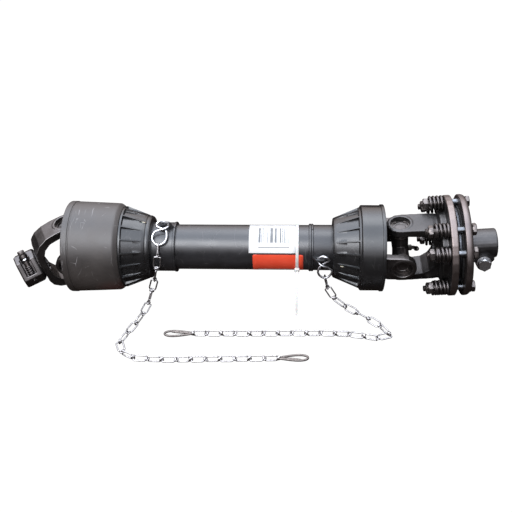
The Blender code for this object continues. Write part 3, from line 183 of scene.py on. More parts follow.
def dress(name, mesh, finish, stands_for=None, body=None, edge=35.0):
    """Show a mesh: give it its finish, shade it smooth up to an angle, and let it ride."""
    obj = bpy.data.objects.new(name, mesh)
    bpy.context.scene.collection.objects.link(obj)
    mesh.materials.clear()
    mesh.materials.append(finish)
    mesh.shade_smooth()
    mesh.set_sharp_from_angle(angle=math.radians(edge))
    if stands_for:
        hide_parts(stands_for)
        body = frame["nodes"][stands_for]["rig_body"]
    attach(obj, body)
    return obj


# %% [markdown]
# ## Turned shapes
#
# Most of the shaft is round, so one function does much of the work. A profile of distance and
# radius is spun about the x axis. Corners are rounded first, because no moulded or forged edge
# is sharp: each corner becomes a short curve that starts and ends a little way along its sides.

# %% Profiles and turning
def rounded(profile, radius, steps=4, closed=True):
    """Swap each corner P, with neighbours A and B, for (1-t)^2 S + 2t(1-t) P + t^2 E.

    S and E lie on PA and PB, radius away or at most 45 % of the way.
    """
    corner = np.array(profile, float)
    reach = np.broadcast_to(np.array(radius, float), len(corner)).copy()
    if not closed:
        reach[[0, -1]] = 0.0
    before, after = np.roll(corner, 1, 0) - corner, np.roll(corner, -1, 0) - corner
    length_before = np.maximum(np.linalg.norm(before, axis=1), 1e-9)
    length_after = np.maximum(np.linalg.norm(after, axis=1), 1e-9)
    start = corner + before * (np.minimum(reach, 0.45 * length_before) / length_before)[:, None]
    end = corner + after * (np.minimum(reach, 0.45 * length_after) / length_after)[:, None]
    t = np.linspace(0, 1, steps)[None, :, None]
    curve = (1 - t) ** 2 * start[:, None] + 2 * t * (1 - t) * corner[:, None] + t ** 2 * end[:, None]
    keep = np.ones((len(corner), steps), bool)
    keep[reach == 0, 1:] = False
    return curve[keep]


def spun(profile, steps=96, closed=True, shape=None):
    """Turn (x, r) about x: point = (x, r cos a, r sin a); shape(x, r, a) may change r."""
    profile = np.asarray(profile, float)
    a = np.linspace(0, math.tau, steps, endpoint=False)[None, :]
    x, r = profile[:, :1] + 0 * a, profile[:, 1:2] + 0 * a
    if shape is not None:
        r = shape(x, r, a + 0 * x)
    return surface(np.stack([x, r * np.cos(a), r * np.sin(a)], -1), close_rows=closed)


def eased(t):
    """Smooth step from 0 to 1: 3 t^2 - 2 t^3."""
    t = np.clip(t, 0, 1)
    return t * t * (3 - 2 * t)


# %% [markdown]
# ## Wire shapes
#
# Chains, rings, hooks and springs are wire. A wire is a circle carried along a path. At each
# point the circle needs two directions across the path; they come from the path's own direction
# and a second direction that never lines up with it.

# %% Paths and wires
def smooth_path(knots, steps, closed=False):
    """Catmull-Rom curve: through every knot, each span a cubic of its four nearest knots."""
    knots = np.array(knots, float)
    if closed:
        a, b, c, d = (np.roll(knots, s, 0) for s in (1, 0, -1, -2))
    else:
        full = np.concatenate([2 * knots[:1] - knots[1:2], knots, 2 * knots[-1:] - knots[-2:-1]])
        a, b, c, d = full[:-3], full[1:-2], full[2:-1], full[3:]
    t = (np.arange(steps) / steps)[None, :, None]
    a, b, c, d = (k[:, None] for k in (a, b, c, d))
    curve = 0.5 * (2 * b + (c - a) * t + (2 * a - 5 * b + 4 * c - d) * t ** 2
                   + (3 * b - a - 3 * c + d) * t ** 3)
    curve = curve.reshape(-1, 3)
    return curve if closed else np.concatenate([curve, knots[-1:]])


def wire(path, radius, across, sides=10, closed=False):
    """Tube round a path: p + radius (cos a * side + sin a * top), side = direction x across."""
    path = np.asarray(path, float)
    if closed:
        direction = np.roll(path, -1, 0) - np.roll(path, 1, 0)
    else:
        direction = np.gradient(path, axis=0)
    side = np.cross(direction, np.broadcast_to(across, path.shape))
    side /= np.linalg.norm(side, axis=1, keepdims=True)
    top = np.cross(side, direction)
    top /= np.linalg.norm(top, axis=1, keepdims=True)
    a = np.linspace(0, math.tau, sides, endpoint=False)[None, :, None]
    radius = np.broadcast_to(radius, len(path))[:, None, None]
    points = path[:, None] + radius * (np.cos(a) * side[:, None] + np.sin(a) * top[:, None])
    return surface(points if closed else capped(points), close_rows=closed)


# %% [markdown]
# ## Building materials
#
# Every finish is a small network of nodes. One function adds a node, fills its sockets and
# settings, and links it. Colours are written as the hex values a screen shows, and are turned to
# the linear light that the renderer works in.

# %% Material helpers
def linear(code):
    """Hex sRGB to linear: c / 12.92 below 0.04045, else ((c + 0.055) / 1.055) ^ 2.4."""
    parts = [int(code[i:i + 2], 16) / 255 for i in (1, 3, 5)]
    return [c / 12.92 if c <= 0.04045 else ((c + 0.055) / 1.055) ** 2.4 for c in parts] + [1.0]


def add(tree, kind, sockets=None, **settings):
    """Add a node. A socket's value is a plain value, or the output that feeds it."""
    made = tree.nodes.new(kind)
    for name, value in settings.items():
        setattr(made, name, value)
    for name, value in (sockets or {}).items():
        if isinstance(value, bpy.types.NodeSocket):
            tree.links.new(value, made.inputs[name])
        else:
            made.inputs[name].default_value = value
    return made


def blank(name, roughness, metallic=0.0, **sockets):
    """A new material with its tree, its shader and the object's own coordinates."""
    made = bpy.data.materials.new(name)
    made.use_nodes = True
    tree = made.node_tree
    shader = tree.nodes["Principled BSDF"]
    shader.inputs["Roughness"].default_value = roughness
    shader.inputs["Metallic"].default_value = metallic
    for key, value in sockets.items():
        shader.inputs[key.replace("_", " ")].default_value = value
    return made, tree, shader, add(tree, "ShaderNodeTexCoord").outputs["Object"]


def mixed(tree, factor, a, b):
    """Colour between a and b by a factor."""
    node = add(tree, "ShaderNodeMix", {0: factor, 6: a, 7: b}, data_type="RGBA")
    return node.outputs[2]


def spread(tree, value, low, high, to_low=0.0, to_high=1.0):
    """Stretch a value from one range to another, clipped at both ends."""
    return add(tree, "ShaderNodeMapRange", {"Value": value, "From Min": low, "From Max": high,
                                            "To Min": to_low, "To Max": to_high}).outputs["Result"]


def times(tree, a, b, operation="MULTIPLY"):
    """Arithmetic on two values."""
    return add(tree, "ShaderNodeMath", {0: a, 1: b}, operation=operation).outputs["Value"]


def noise(tree, where, size, detail=2.0, rough=0.5):
    """Noise whose lumps are about size metres across."""
    return add(tree, "ShaderNodeTexNoise", {"Vector": where, "Scale": 1.0 / size, "Detail": detail,
                                            "Roughness": rough}).outputs["Fac"]


def relief(tree, shader, height, depth, before=None):
    """Bump of a real depth in metres, on top of another bump."""
    node = add(tree, "ShaderNodeBump", {"Height": height, "Distance": depth, "Strength": 1.0})
    if before:
        tree.links.new(before, node.inputs["Normal"])
    tree.links.new(node.outputs["Normal"], shader.inputs["Normal"])
    return node.outputs["Normal"]


# %% [markdown]
# ## Black polyethylene
#
# The guard is moulded polyethylene: a soft, slightly waxy plastic with a low sheen. The mould
# leaves a fine grain, and handling leaves pale scratches, because a scratch in soft plastic
# raises a ragged edge that scatters light. The scratches here are the edges of large cells,
# bent by noise and shown only in a few places. The grain of a real mould is about 0.3 mm, which
# a picture this size can't show, so the drawn grain is coarser.

# %% Plastic
def polyethylene(name, colour, dusty, roughness, scratched, blush=None):
    """Cloudy dark plastic with scratches: near a cell's edge, and where noise is high.

    blush is (colour, place): a stain that fades out between 12 and 40 mm from the place.
    """
    made, tree, shader, where = blank(name, roughness, IOR=1.5)
    bend = add(tree, "ShaderNodeVectorMath", {0: add(tree, "ShaderNodeTexNoise", {
        "Vector": where, "Scale": 30.0, "Detail": 1.0}).outputs["Color"], 1: (0.014,) * 3},
        operation="MULTIPLY").outputs["Vector"]
    bent = add(tree, "ShaderNodeVectorMath", {0: where, 1: bend}, operation="ADD").outputs["Vector"]
    marks = 0.0
    for scale, seed, squash in ((46.0, 0.0, 0.30), (60.0, 3.7, 0.45)):
        shifted = add(tree, "ShaderNodeMapping", {
            "Vector": bent, "Location": (seed, seed, 0.3), "Rotation": (0.0, 0.25 * seed, 0.1),
            "Scale": (1.0, squash, squash)}).outputs["Vector"]
        cell = add(tree, "ShaderNodeTexVoronoi", {"Vector": shifted, "Scale": scale},
                   feature="DISTANCE_TO_EDGE").outputs["Distance"]
        line = spread(tree, cell, 0.003, 0.016, 1.0, 0.0)
        patch = spread(tree, noise(tree, shifted, 0.014, 2.0), 0.57, 0.67)
        marks = times(tree, line, patch) if marks == 0.0 else times(
            tree, marks, times(tree, line, patch), "MAXIMUM")
    marks = times(tree, marks, scratched)
    cloud = noise(tree, where, 0.045, 4.0, 0.6)
    base = mixed(tree, spread(tree, cloud, 0.35, 0.70), linear(colour), linear(dusty))
    if blush:
        spot = add(tree, "ShaderNodeVectorMath", {0: where, 1: blush[1]}, operation="DISTANCE")
        near = spread(tree, spot.outputs["Value"], 0.012, 0.040, 0.55, 0.0)
        base = mixed(tree, near, base, linear(blush[0]))
    base = mixed(tree, marks, base, linear("#8d8b8c"))
    tree.links.new(base, shader.inputs["Base Color"])
    wear = spread(tree, cloud, 0.3, 0.7, roughness - 0.05, roughness + 0.08)
    tree.links.new(times(tree, wear, times(tree, marks, 0.2), "ADD"), shader.inputs["Roughness"])
    grain = relief(tree, shader, noise(tree, where, 0.0011, 3.0, 0.6), 0.00005)
    relief(tree, shader, times(tree, marks, -1.0), 0.00012, grain)
    return made


bell_plastic = polyethylene("scratched moulded polyethylene", "#373433", "#45413f", 0.46, 1.0,
                            ("#5c3230", (-0.2230, 0.0000, 0.0320)))
cone_plastic = polyethylene("moulded polyethylene", "#171718", "#212122", 0.27, 0.15)
tube_plastic = polyethylene("extruded polyethylene tube", "#262628", "#323235", 0.31, 0.25)
print("plastics:", bell_plastic.name, "/", cone_plastic.name, "/", tube_plastic.name)

# %% [markdown]
# ## Blackened and plated steel
#
# The yokes are drop forged, shot blasted and blackened. They stay metal: a dark grey that still
# mirrors a bright sky, and turns lighter along its worn edges. The blast leaves a fine
# orange-peel surface, and the scale of the forging leaves wide shallow waves. The rims of the
# clutch plates are given a lighter colour than their faces, as a painted highlight. Chains, rings
# and the clamp bolt are zinc plated, which looks bright and a little milky, and the plate of the
# hooks has gone dull.

# %% Metals
def blackened(name, colour, worn, roughness, lumps, depth, edge=None, rim=None):
    """Dark steel, lighter where noise says it is worn, on its edges, and on a rim.

    rim is (place, radius, colour): a painted highlight, the colour where the distance from the
    place's x axis, |(p - c) x a|, is more than the radius.
    """
    made, tree, shader, where = blank(name, roughness, 0.9)
    cloud = noise(tree, where, 0.018, 4.0, 0.6)
    base = mixed(tree, spread(tree, cloud, 0.40, 0.72), linear(colour), linear(worn))
    if edge:
        sharp = add(tree, "ShaderNodeNewGeometry").outputs["Pointiness"]
        base = mixed(tree, spread(tree, sharp, 0.52, 0.60, 0.0, 0.8), base, linear(edge))
    if rim:
        place, radius, light = rim
        off = add(tree, "ShaderNodeVectorMath", {0: where, 1: tuple(place.translation)},
                  operation="SUBTRACT").outputs["Vector"]
        off = add(tree, "ShaderNodeVectorMath", {0: off, 1: tuple(place.to_3x3().col[0])},
                  operation="CROSS_PRODUCT").outputs["Vector"]
        off = add(tree, "ShaderNodeVectorMath", {0: off}, operation="LENGTH").outputs["Value"]
        # Painted highlight: beyond the radius the rim takes the lighter colour.
        base = mixed(tree, spread(tree, off, radius, radius + 0.0008), base, linear(light))
    tree.links.new(base, shader.inputs["Base Color"])
    tree.links.new(spread(tree, cloud, 0.3, 0.7, roughness - 0.06, roughness + 0.10),
                   shader.inputs["Roughness"])
    waves = relief(tree, shader, noise(tree, where, lumps * 6, 2.0), depth * 3)
    relief(tree, shader, noise(tree, where, lumps, 3.0, 0.65), depth, waves)
    return made


def bright_steel(name, bright, dull, roughness):
    """Plated or bare steel: two greys and a little roughness, mixed by noise of about 4 mm."""
    made, tree, shader, where = blank(name, roughness, 1.0)
    cloud = noise(tree, where, 0.004, 3.0, 0.6)
    base = mixed(tree, spread(tree, cloud, 0.35, 0.65), linear(bright), linear(dull))
    tree.links.new(base, shader.inputs["Base Color"])
    tree.links.new(spread(tree, cloud, 0.3, 0.7, roughness - 0.06, roughness + 0.10),
                   shader.inputs["Roughness"])
    relief(tree, shader, noise(tree, where, 0.0012, 2.0), 0.00003)
    return made


forged_black = blackened("blackened forged steel", "#4d4a49", "#595554", 0.36, 0.0016, 0.00006,
                         edge="#95908d")
# The lighter rim colour of the clutch plates, #6d6461, is a painted highlight on their edges.
flange_black = blackened("blackened forged clutch plate", "#403f3f", "#4d4b4b", 0.42, 0.0016,
                         0.00006, rim=(CLUTCH, 0.0795, "#6d6461"))
plate_black = blackened("blackened turned steel", "#635b59", "#6f6765", 0.40, 0.0022, 0.00003)
bolt_black = blackened("black phosphated bolt steel", "#5b5654", "#6f6966", 0.40, 0.0010, 0.00003)
spring_black = blackened("black oiled spring wire", "#4c4847", "#5b5655", 0.34, 0.0020, 0.00002)
ground_steel = bright_steel("ground bearing steel", "#4c4e52", "#3b3d41", 0.36)
chain_zinc = bright_steel("zinc plated chain wire", "#b0adac", "#8f8c8b", 0.40)
ring_zinc = bright_steel("zinc plated ring wire", "#c9c9cb", "#a9a9ac", 0.34)
hook_steel = bright_steel("dull plated hook steel", "#67615d", "#544f4c", 0.46)
bolt_zinc = bright_steel("zinc plated bolt", "#c9c9c9", "#a0a1a3", 0.34)
# Painted highlight: the bolt shanks in the clutch gap get this lighter steel in place of their glints.
shank_highlight_steel = bright_steel("lighter shank steel, painted highlight", "#6f7276", "#5c5f63", 0.38)
pin_steel = bright_steel("bright turned pin steel", "#c9cbce", "#a5a7ab", 0.22)
nipple_steel = bright_steel("blackened nipple steel", "#3a3836", "#2a2826", 0.34)
print("darkest and brightest steel:", nipple_steel.name, "and", pin_steel.name)

# %% [markdown]
# ## Nylon, brake lining and label stock
#
# The bearing rings and the cable tie are nylon, which lets a little light in, so it gets a touch
# of subsurface light. The lining of the clutch is pressed fibre, near black: partly its own dark
# colour, partly painted shade of the narrow gap between the plates. The same near black fills the
# slots of the cones as painted shade. The two labels are coated film: a white one with grey bars,
# and a red one with a pale band.

# %% Nylon, lining, labels
def nylon(name, colour, shade):
    """Cloudy nylon that light enters by about 2 mm."""
    made, tree, shader, where = blank(name, 0.38, IOR=1.53, Subsurface_Weight=0.15,
                                      Subsurface_Scale=0.002)
    cloud = noise(tree, where, 0.012, 3.0)
    tree.links.new(mixed(tree, spread(tree, cloud, 0.3, 0.7), linear(colour), linear(shade)),
                   shader.inputs["Base Color"])
    relief(tree, shader, noise(tree, where, 0.0012, 2.0), 0.00002)
    return made


def lining(name):
    """Rough fibre: dark flecks of about 1 mm, raised by a tenth."""
    made, tree, shader, where = blank(name, 0.85)
    fleck = noise(tree, where, 0.0012, 4.0, 0.7)
    # Near black: the fibre's own dark colour, darkened further as painted shade for the clutch gap and
    # the cone slots.
    tree.links.new(mixed(tree, spread(tree, fleck, 0.45, 0.62), linear("#0d0d0d"),
                         linear("#171616")), shader.inputs["Base Color"])
    relief(tree, shader, fleck, 0.0001)
    return made


def label_film(name, colour, bars):
    """Film label. Its own UV map runs 0 to 1 along and across; bars is a list of printed boxes."""
    made, tree, shader, where = blank(name, 0.32, IOR=1.48)
    uv = add(tree, "ShaderNodeUVMap", uv_map="label").outputs["UV"]
    split = add(tree, "ShaderNodeSeparateXYZ", {"Vector": uv})
    u, v = split.outputs["X"], split.outputs["Y"]
    cloud = noise(tree, where, 0.02, 3.0)
    base = mixed(tree, spread(tree, cloud, 0.3, 0.7), linear(colour[0]), linear(colour[1]))
    for low_u, high_u, low_v, high_v, count, ink in bars:
        inside = 1.0
        for value, low, high in ((u, low_u, high_u), (v, low_v, high_v)):
            inside = times(tree, inside, times(tree, value, low, "GREATER_THAN"))
            inside = times(tree, inside, times(tree, value, high, "LESS_THAN"))
        if count:
            cell = add(tree, "ShaderNodeMath", {0: times(tree, u, count)},
                       operation="FLOOR").outputs["Value"]
            chance = add(tree, "ShaderNodeTexWhiteNoise", {"W": cell},
                         noise_dimensions="1D").outputs["Value"]
            inside = times(tree, inside, times(tree, chance, 0.45, "GREATER_THAN"))
        base = mixed(tree, inside, base, linear(ink))
    tree.links.new(base, shader.inputs["Base Color"])
    relief(tree, shader, noise(tree, where, 0.006, 2.0), 0.00004)
    return made


ring_nylon = nylon("natural nylon", "#d9d4c4", "#c4bda9")
tie_nylon = nylon("white nylon", "#eeeeec", "#e0e0de")
lining_and_painted_shade = lining("pressed lining, near black as painted shade")
white_label = label_film("white coated label", ("#f8f9fb", "#f0f2f5"), (
    (0.20, 0.88, 0.28, 0.78, 64, "#6a6d71"), (0.06, 0.52, 0.88, 0.92, 0, "#9a9da1"),
    (0.20, 0.86, 0.14, 0.17, 0, "#8b8e92")))
red_label = label_film("red coated label", ("#ff5c40", "#f85236"), (
    (0.10, 0.90, 0.06, 0.24, 0, "#f1e9e6"),))
print("labels:", white_label.name, "and", red_label.name)

# %% [markdown]
# ## The bell
#
# The bell is a wide cup that shields the tractor's joint. On the real one a belt of plastic
# runs round the mouth, with a fine step behind it, and the far end is a soft shoulder. It is one
# closed profile, outside and inside, spun about the shaft.

# %% Bell
bell_profile = rounded((
    (-0.3000, 0.0755), (-0.2985, 0.0760), (-0.2900, 0.0760), (-0.2897, 0.0748), (-0.2880, 0.0746),
    (-0.2874, 0.0752), (-0.2500, 0.0738), (-0.2172, 0.0723), (-0.2103, 0.0668), (-0.2103, 0.0580),
    (-0.2133, 0.0580), (-0.2138, 0.0640), (-0.2185, 0.0684), (-0.2880, 0.0716), (-0.3000, 0.0720)),
    (0.0008, 0.0008, 0.0006, 0.0003, 0.0003, 0.0004, 0.004, 0.0024, 0.0012, 0.0006,
     0.0006, 0.003, 0.004, 0.003, 0.0008), 5)
dress("bell_shell", mesh_of("bell_shell", [placed(spun(bell_profile, 144), SHAFT)]), bell_plastic,
      "left_bell")
print("bell profile points:", len(bell_profile))

# %% [markdown]
# ## The ribbed cones
#
# Each cone starts with a smooth band, and then steps down into eighteen panels. A panel is deepest
# beside the band and comes up level at the narrow end, so the ribs between the panels look like
# long gussets. The ribs keep one width while the cone narrows: their points sit at fixed
# distances in millimetres, and the points of a panel share out what is left.

# %% Ribbed cones
RIBS = 18
RIB_ACROSS = np.array([-1.7, -1.5, -1.2, -1.0, -0.4, 0.4, 1.0, 1.2, 1.5, 1.7]) / 1000
RIB_SINK = np.array([1.0, 0.92, 0.25, 0.0, 0.0, 0.0, 0.0, 0.25, 0.92, 1.0])
PANEL_SHARE = np.array([0.25, 0.5, 0.75])


def ribbed(profile, outside, deep_end, flat_end, depth, step=0.0013):
    """Spin a profile whose outside sinks between its ribs.

    radius = r - depth s(x) sink(a). s grows evenly from 0 at flat_end to 1 at deep_end, and falls
    back to 0 within one step beyond it.
    """
    x, r = profile[:, 0], profile[:, 1]
    way = (x - flat_end) / (deep_end - flat_end)
    beyond = (way - 1) * abs(deep_end - flat_end) / step
    s = outside * np.clip(way, 0, 1) * (1 - eased(beyond))
    pitch = math.tau / RIBS
    half = RIB_ACROSS[-1] / r[:, None]
    across = np.concatenate([RIB_ACROSS[None, :] / r[:, None],
                             half + (pitch - 2 * half) * PANEL_SHARE[None, :]], 1)
    sink = np.concatenate([RIB_SINK, 1 + 0 * PANEL_SHARE])
    angle = (pitch * (np.arange(RIBS) + 0.5)[None, :, None] + across[:, None, :]).reshape(len(x), -1)
    radius = r[:, None] - depth * s[:, None] * np.tile(sink, RIBS)[None, :]
    points = np.stack([x[:, None] + 0 * angle, radius * np.cos(angle), radius * np.sin(angle)], -1)
    return surface(points, close_rows=True)


def between(a, b, steps):
    """Points on a straight line from a to b, without b."""
    t = np.arange(steps)[:, None] / steps
    return np.array(a) * (1 - t) + np.array(b) * t


def cone_profile(corners, radius, skin, steps=64):
    """Rounded profile whose one long outer side is cut into steps; returns it and its mask."""
    outline = rounded(corners, radius, 5)
    low, high = skin
    x = outline[:, 0]
    gap = np.linalg.norm(np.roll(outline, -1, 0) - outline, axis=1)
    longest = int(np.argmax(np.where((x >= low - 0.004) & (x <= high + 0.004)
                                     & (outline[:, 1] > CONE_OUTSIDE), gap, 0)))
    fine = between(outline[longest], outline[(longest + 1) % len(outline)], steps)
    full = np.concatenate([outline[:longest], fine, outline[longest + 1:]])
    mask = np.zeros(len(full))
    mask[longest:longest + steps + 1] = 1.0
    return full, mask


CONE_OUTSIDE = 0.044
left_corners = ((-0.2100, 0.0672), (-0.2070, 0.0672), (-0.1700, 0.0530), (-0.1693, 0.0519),
                (-0.1664, 0.0522), (-0.1632, 0.0506), (-0.1620, 0.0484),
                (-0.1620, 0.0410), (-0.1650, 0.0410), (-0.1655, 0.0475), (-0.1710, 0.0482),
                (-0.2080, 0.0600), (-0.2100, 0.0602))
outline, mask = cone_profile(left_corners, 0.0010, (-0.207, -0.170))
left_cone = ribbed(outline, mask, -0.2058, -0.1740, 0.0045)
dress("left_cone_shell", mesh_of("left_cone_shell", [placed(left_cone, SHAFT)]), cone_plastic,
      "left_cone")

right_corners = ((0.1340, 0.0379), (0.1340, 0.0480), (0.1352, 0.0492), (0.1780, 0.0672),
                 (0.1782, 0.0690), (0.1796, 0.0704), (0.2106, 0.0702), (0.2108, 0.0718),
                 (0.2160, 0.0716), (0.2160, 0.0674), (0.1800, 0.0672), (0.1780, 0.0604),
                 (0.1370, 0.0440), (0.1370, 0.0379))
outline, mask = cone_profile(right_corners, 0.0008, (0.135, 0.178))
right_cone = ribbed(outline, mask, 0.1735, 0.1385, 0.0042)
dress("right_cone_shell", mesh_of("right_cone_shell", [placed(right_cone, SHAFT)]), cone_plastic,
      "right_cone")
print("cone faces:", len(left_cone[1]), len(right_cone[1]))

# %% [markdown]
# ## Collars, lugs and tubes
#
# A collar joins each cone to its tube, and carries the lug for the chain. The lug is a plate
# with a hole. A plate with one hole is a ring, so it can be one grid: round the hole in one
# direction, and from the hole's edge out, over the rim and back in the other. How far it reaches
# at each angle comes from where a ray from the hole meets the lug's outline.

# %% Collars and tubes
HOLE_OUT = 0.047                    # the lug's hole from the shaft's axis


def holed_plate(outline, hole, hole_radius, thickness, edge=0.0006, steps=72):
    """Ring-shaped plate: radius runs from the hole to R(a), the nearest crossing of a ray."""
    a = np.linspace(0, math.tau, steps, endpoint=False)
    ray = np.stack([np.cos(a), np.sin(a)], -1)[:, None]
    start = np.array(outline, float) - np.array(hole)
    side = np.roll(start, -1, 0) - start
    cross = ray[..., 0] * side[:, 1] - ray[..., 1] * side[:, 0]
    safe = np.where(np.abs(cross) < 1e-12, 1e-12, cross)
    far = (start[:, 0] * side[:, 1] - start[:, 1] * side[:, 0]) / safe
    share = (start[:, 0] * ray[..., 1] - start[:, 1] * ray[..., 0]) / safe
    good = (far > 0) & (share >= -1e-9) & (share <= 1 + 1e-9)
    reach = np.where(good, far, np.inf).min(1)[:, None]
    h = thickness / 2
    section = [(0, edge, h), (1, -edge, h), (1, 0, h - edge), (1, 0, edge - h), (1, -edge, -h),
               (0, edge, -h), (0, 0, edge - h), (0, 0, h - edge)]
    r = np.concatenate([hole_radius * (1 - s) + reach * s + d for s, d, _ in section], 1)
    z = np.array([depth for _, _, depth in section])[None, :] + 0 * r
    points = np.stack([hole[0] + r * ray[..., 0], hole[1] + r * ray[..., 1], z], -1)
    return surface(points, close_rows=True)


def lug(x, degrees, base, hole_x):
    """Ear on a collar: outline in (along the shaft, outwards), turned to its angle."""
    outline = ((-0.0132, base - 0.002), (0.0132, base - 0.002), (0.0128, base + 0.0025),
               (0.0085, 0.0500), (0.0070, 0.0522), (0.0048, 0.0530), (-0.0048, 0.0530),
               (-0.0070, 0.0522), (-0.0085, 0.0500), (-0.0128, base + 0.0025))
    plate = holed_plate(outline, (hole_x - x, HOLE_OUT), 0.0034, 0.004)
    stand = Matrix(((1, 0, 0, 0), (0, 0, -1, 0), (0, 1, 0, 0), (0, 0, 0, 1)))
    return placed(plate, SHAFT @ turned("X", 90.0 - degrees) @ moved(x) @ stand)


def pip(x, degrees, radius, size=0.0019, height=0.0017):
    """Small round moulding mark: a dome, radius falling as a quarter circle."""
    t = np.linspace(0, math.pi / 2, 6)
    profile = np.stack([radius + height * np.sin(t), size * np.cos(t)], -1)
    profile = np.concatenate([[(radius - 0.001, 0.0), (radius - 0.001, size)], profile])
    return placed(spun(profile, 14, closed=False),
                  SHAFT @ turned("X", 90.0 - degrees) @ moved(x) @ turned("Y", -90))


left_collar = rounded((
    (-0.1700, 0.0375), (-0.1700, 0.0407), (-0.1262, 0.0407), (-0.1260, 0.0416), (-0.1256, 0.0418),
    (-0.1234, 0.0418), (-0.1230, 0.0414), (-0.1230, 0.0375)),
    (0, 0.0006, 0.0008, 0.0003, 0.0003, 0.0003, 0.0003, 0), 4)
dress("left_collar_shell", mesh_of("left_collar_shell", [
    placed(spun(left_collar, 120), SHAFT), lug(-0.1385, 90.0, 0.0407, -0.1350),
    pip(-0.1245, 90.0, 0.0416), pip(-0.1245, -90.0, 0.0416)]), tube_plastic, "left_collar")

right_collar = rounded((
    (0.0993, 0.0333), (0.0993, 0.0390), (0.0997, 0.0394), (0.1019, 0.0394), (0.1023, 0.0390),
    (0.1025, 0.0376), (0.1410, 0.0376), (0.1410, 0.0333)),
    (0, 0.0003, 0.0003, 0.0003, 0.0003, 0.0008, 0.0006, 0), 4)
dress("right_collar_shell", mesh_of("right_collar_shell", [
    placed(spun(right_collar, 120), SHAFT), lug(0.1130, 17.0, 0.0376, 0.1095),
    pip(0.1008, 90.0, 0.0392), pip(0.1008, -90.0, 0.0392)]), tube_plastic, "right_collar")

outer_tube = rounded((
    (-0.1460, 0.0340), (-0.1460, 0.0372), (0.0950, 0.0372), (0.0952, 0.0388), (0.0958, 0.0394),
    (0.0984, 0.0394), (0.0990, 0.0390), (0.0990, 0.0340)),
    (0, 0.0005, 0.0008, 0.0003, 0.0004, 0.0004, 0.0003, 0), 4)
dress("outer_tube_shell", mesh_of("outer_tube_shell", [placed(spun(outer_tube, 120), SHAFT)]),
      tube_plastic, "outer_guard_tube")
inner_tube = rounded(((-0.1000, 0.0300), (-0.1000, 0.0330), (0.1135, 0.0330), (0.1135, 0.0300)),
                     0.0004, 3)
dress("inner_tube_shell", mesh_of("inner_tube_shell", [placed(spun(inner_tube, 96), SHAFT)]),
      tube_plastic, "inner_guard_tube")
print("collar profile points:", len(left_collar), len(right_collar))

# %% [markdown]
# ## Tabs in the cones
#
# The bearing ring is held by a nylon tab that shows in an oblong slot of the cone. The slot is
# not cut: a thin near-black block on the cone paints the shade inside it. The slot and its tab are
# rounded blocks: a sphere whose coordinates are raised to a power turns boxy.

# %% Tabs
def pillow(half_sizes, power=6.0, rows=24, columns=32):
    """Rounded block: a sphere whose coordinates are raised to 2 / power, |x|^p+|y|^p+|z|^p = 1."""
    v = np.linspace(-math.pi / 2, math.pi / 2, rows)[:, None]
    u = np.linspace(0, math.tau, columns, endpoint=False)[None, :]

    def soft(value):
        return np.sign(value) * np.abs(value) ** (2 / power)
    x = half_sizes[0] * soft(np.cos(v)) * soft(np.cos(u))
    y = half_sizes[1] * soft(np.cos(v)) * soft(np.sin(u))
    z = half_sizes[2] * soft(np.sin(v)) + 0 * u
    return surface(np.stack([x, y, z], -1))


for side, x, degrees, radius, slope in (("left", -0.1744, 87.5, 0.0544, 21.0),
                                        ("right", 0.1470, 7.5, 0.0532, -22.8)):
    place = SHAFT @ turned("X", 90.0 - degrees) @ moved(x, 0.0, radius) @ turned("Y", slope)
    # The slot is painted shade: a thin near-black block where the opening would be dark.
    dress(f"{side}_painted_slot_shade", mesh_of(f"{side}_painted_slot_shade", [
        placed(pillow((0.0062, 0.0019, 0.0006), 4.0), place)]), lining_and_painted_shade,
        body=frame["nodes"][f"{side}_cone"]["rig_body"])
    dress(f"{side}_cone_tab", mesh_of(f"{side}_cone_tab", [
        placed(pillow((0.0030, 0.0010, 0.0008), 3.0), place @ moved(0.0010, -0.0005, 0.0002))]),
        ring_nylon, body=frame["nodes"][f"{side}_cone"]["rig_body"])
    print(side, "tab at", [round(c, 4) for c in place.translation])

# %% [markdown]
# ## Bearing rings, drive tubes and roll pins
#
# These sit inside the guard. The drive tubes have three lobes, so that one can push the other
# round: their radius falls by three millimetres between the lobes, as a cosine. The rings of
# nylon let the guard stand still while the shaft turns.

# %% Inside the guard
LEFT_GROOVE, RIGHT_GROOVE, GROOVE, PLAY = 0.1365, 0.118, 0.0075, 0.0004
for node, middle, sign, groove, outside in (
        ("left_bearing_ring", LEFT_JOINT_X, 1, LEFT_GROOVE, 0.0372),
        ("right_bearing_ring", RIGHT_JOINT_X, -1, RIGHT_GROOVE, 0.0330)):
    a, b = middle + sign * (groove + PLAY), middle + sign * (groove + GROOVE - PLAY)
    ring = rounded(((a, 0.0253), (a, outside), (b, outside), (b, 0.0253)), 0.0006, 3)
    dress(node + "_shell", mesh_of(node, [placed(spun(ring, 72), SHAFT)]), ring_nylon, node)


def lobes(dip):
    """Three lobes: r' = r - dip (1 - cos 3a) / 2."""
    return lambda x, r, a: r - dip * (1 - np.cos(3 * (a - math.pi / 2))) / 2


DRIVE_RADIUS, OUTER_WALL, INNER_WALL, DRIVE_PLAY = 0.02175, 0.0034, 0.0032, 0.0003
for node, radius, wall in (("outer_drive_tube", DRIVE_RADIUS, OUTER_WALL),
                           ("inner_drive_tube", DRIVE_RADIUS - OUTER_WALL - DRIVE_PLAY, INNER_WALL)):
    low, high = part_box(node)
    a, b = low.x - SHAFT.translation.x, high.x - SHAFT.translation.x
    tube = rounded(((a, radius - wall), (a, radius), (b, radius), (b, radius - wall)), 0.0004, 3)
    dress(node + "_shell", mesh_of(node, [placed(spun(tube, 96, shape=lobes(0.003)),
                                                 SHAFT @ turned("X", 90.0))]), ground_steel, node)
    print(node, "from", round(a, 4), "to", round(b, 4))

# %% [markdown]
# ## Forged yokes
#
# A forging has soft edges, and flows from one form to the next. Working out such a surface by
# formula would be slow, and its solid already exists, so a copy of the solid is rebuilt from
# small cubes of space, voxels, and then relaxed: each point moves towards the middle of its
# neighbours a few times. That rounds every edge by about a millimetre, as a forging die does.

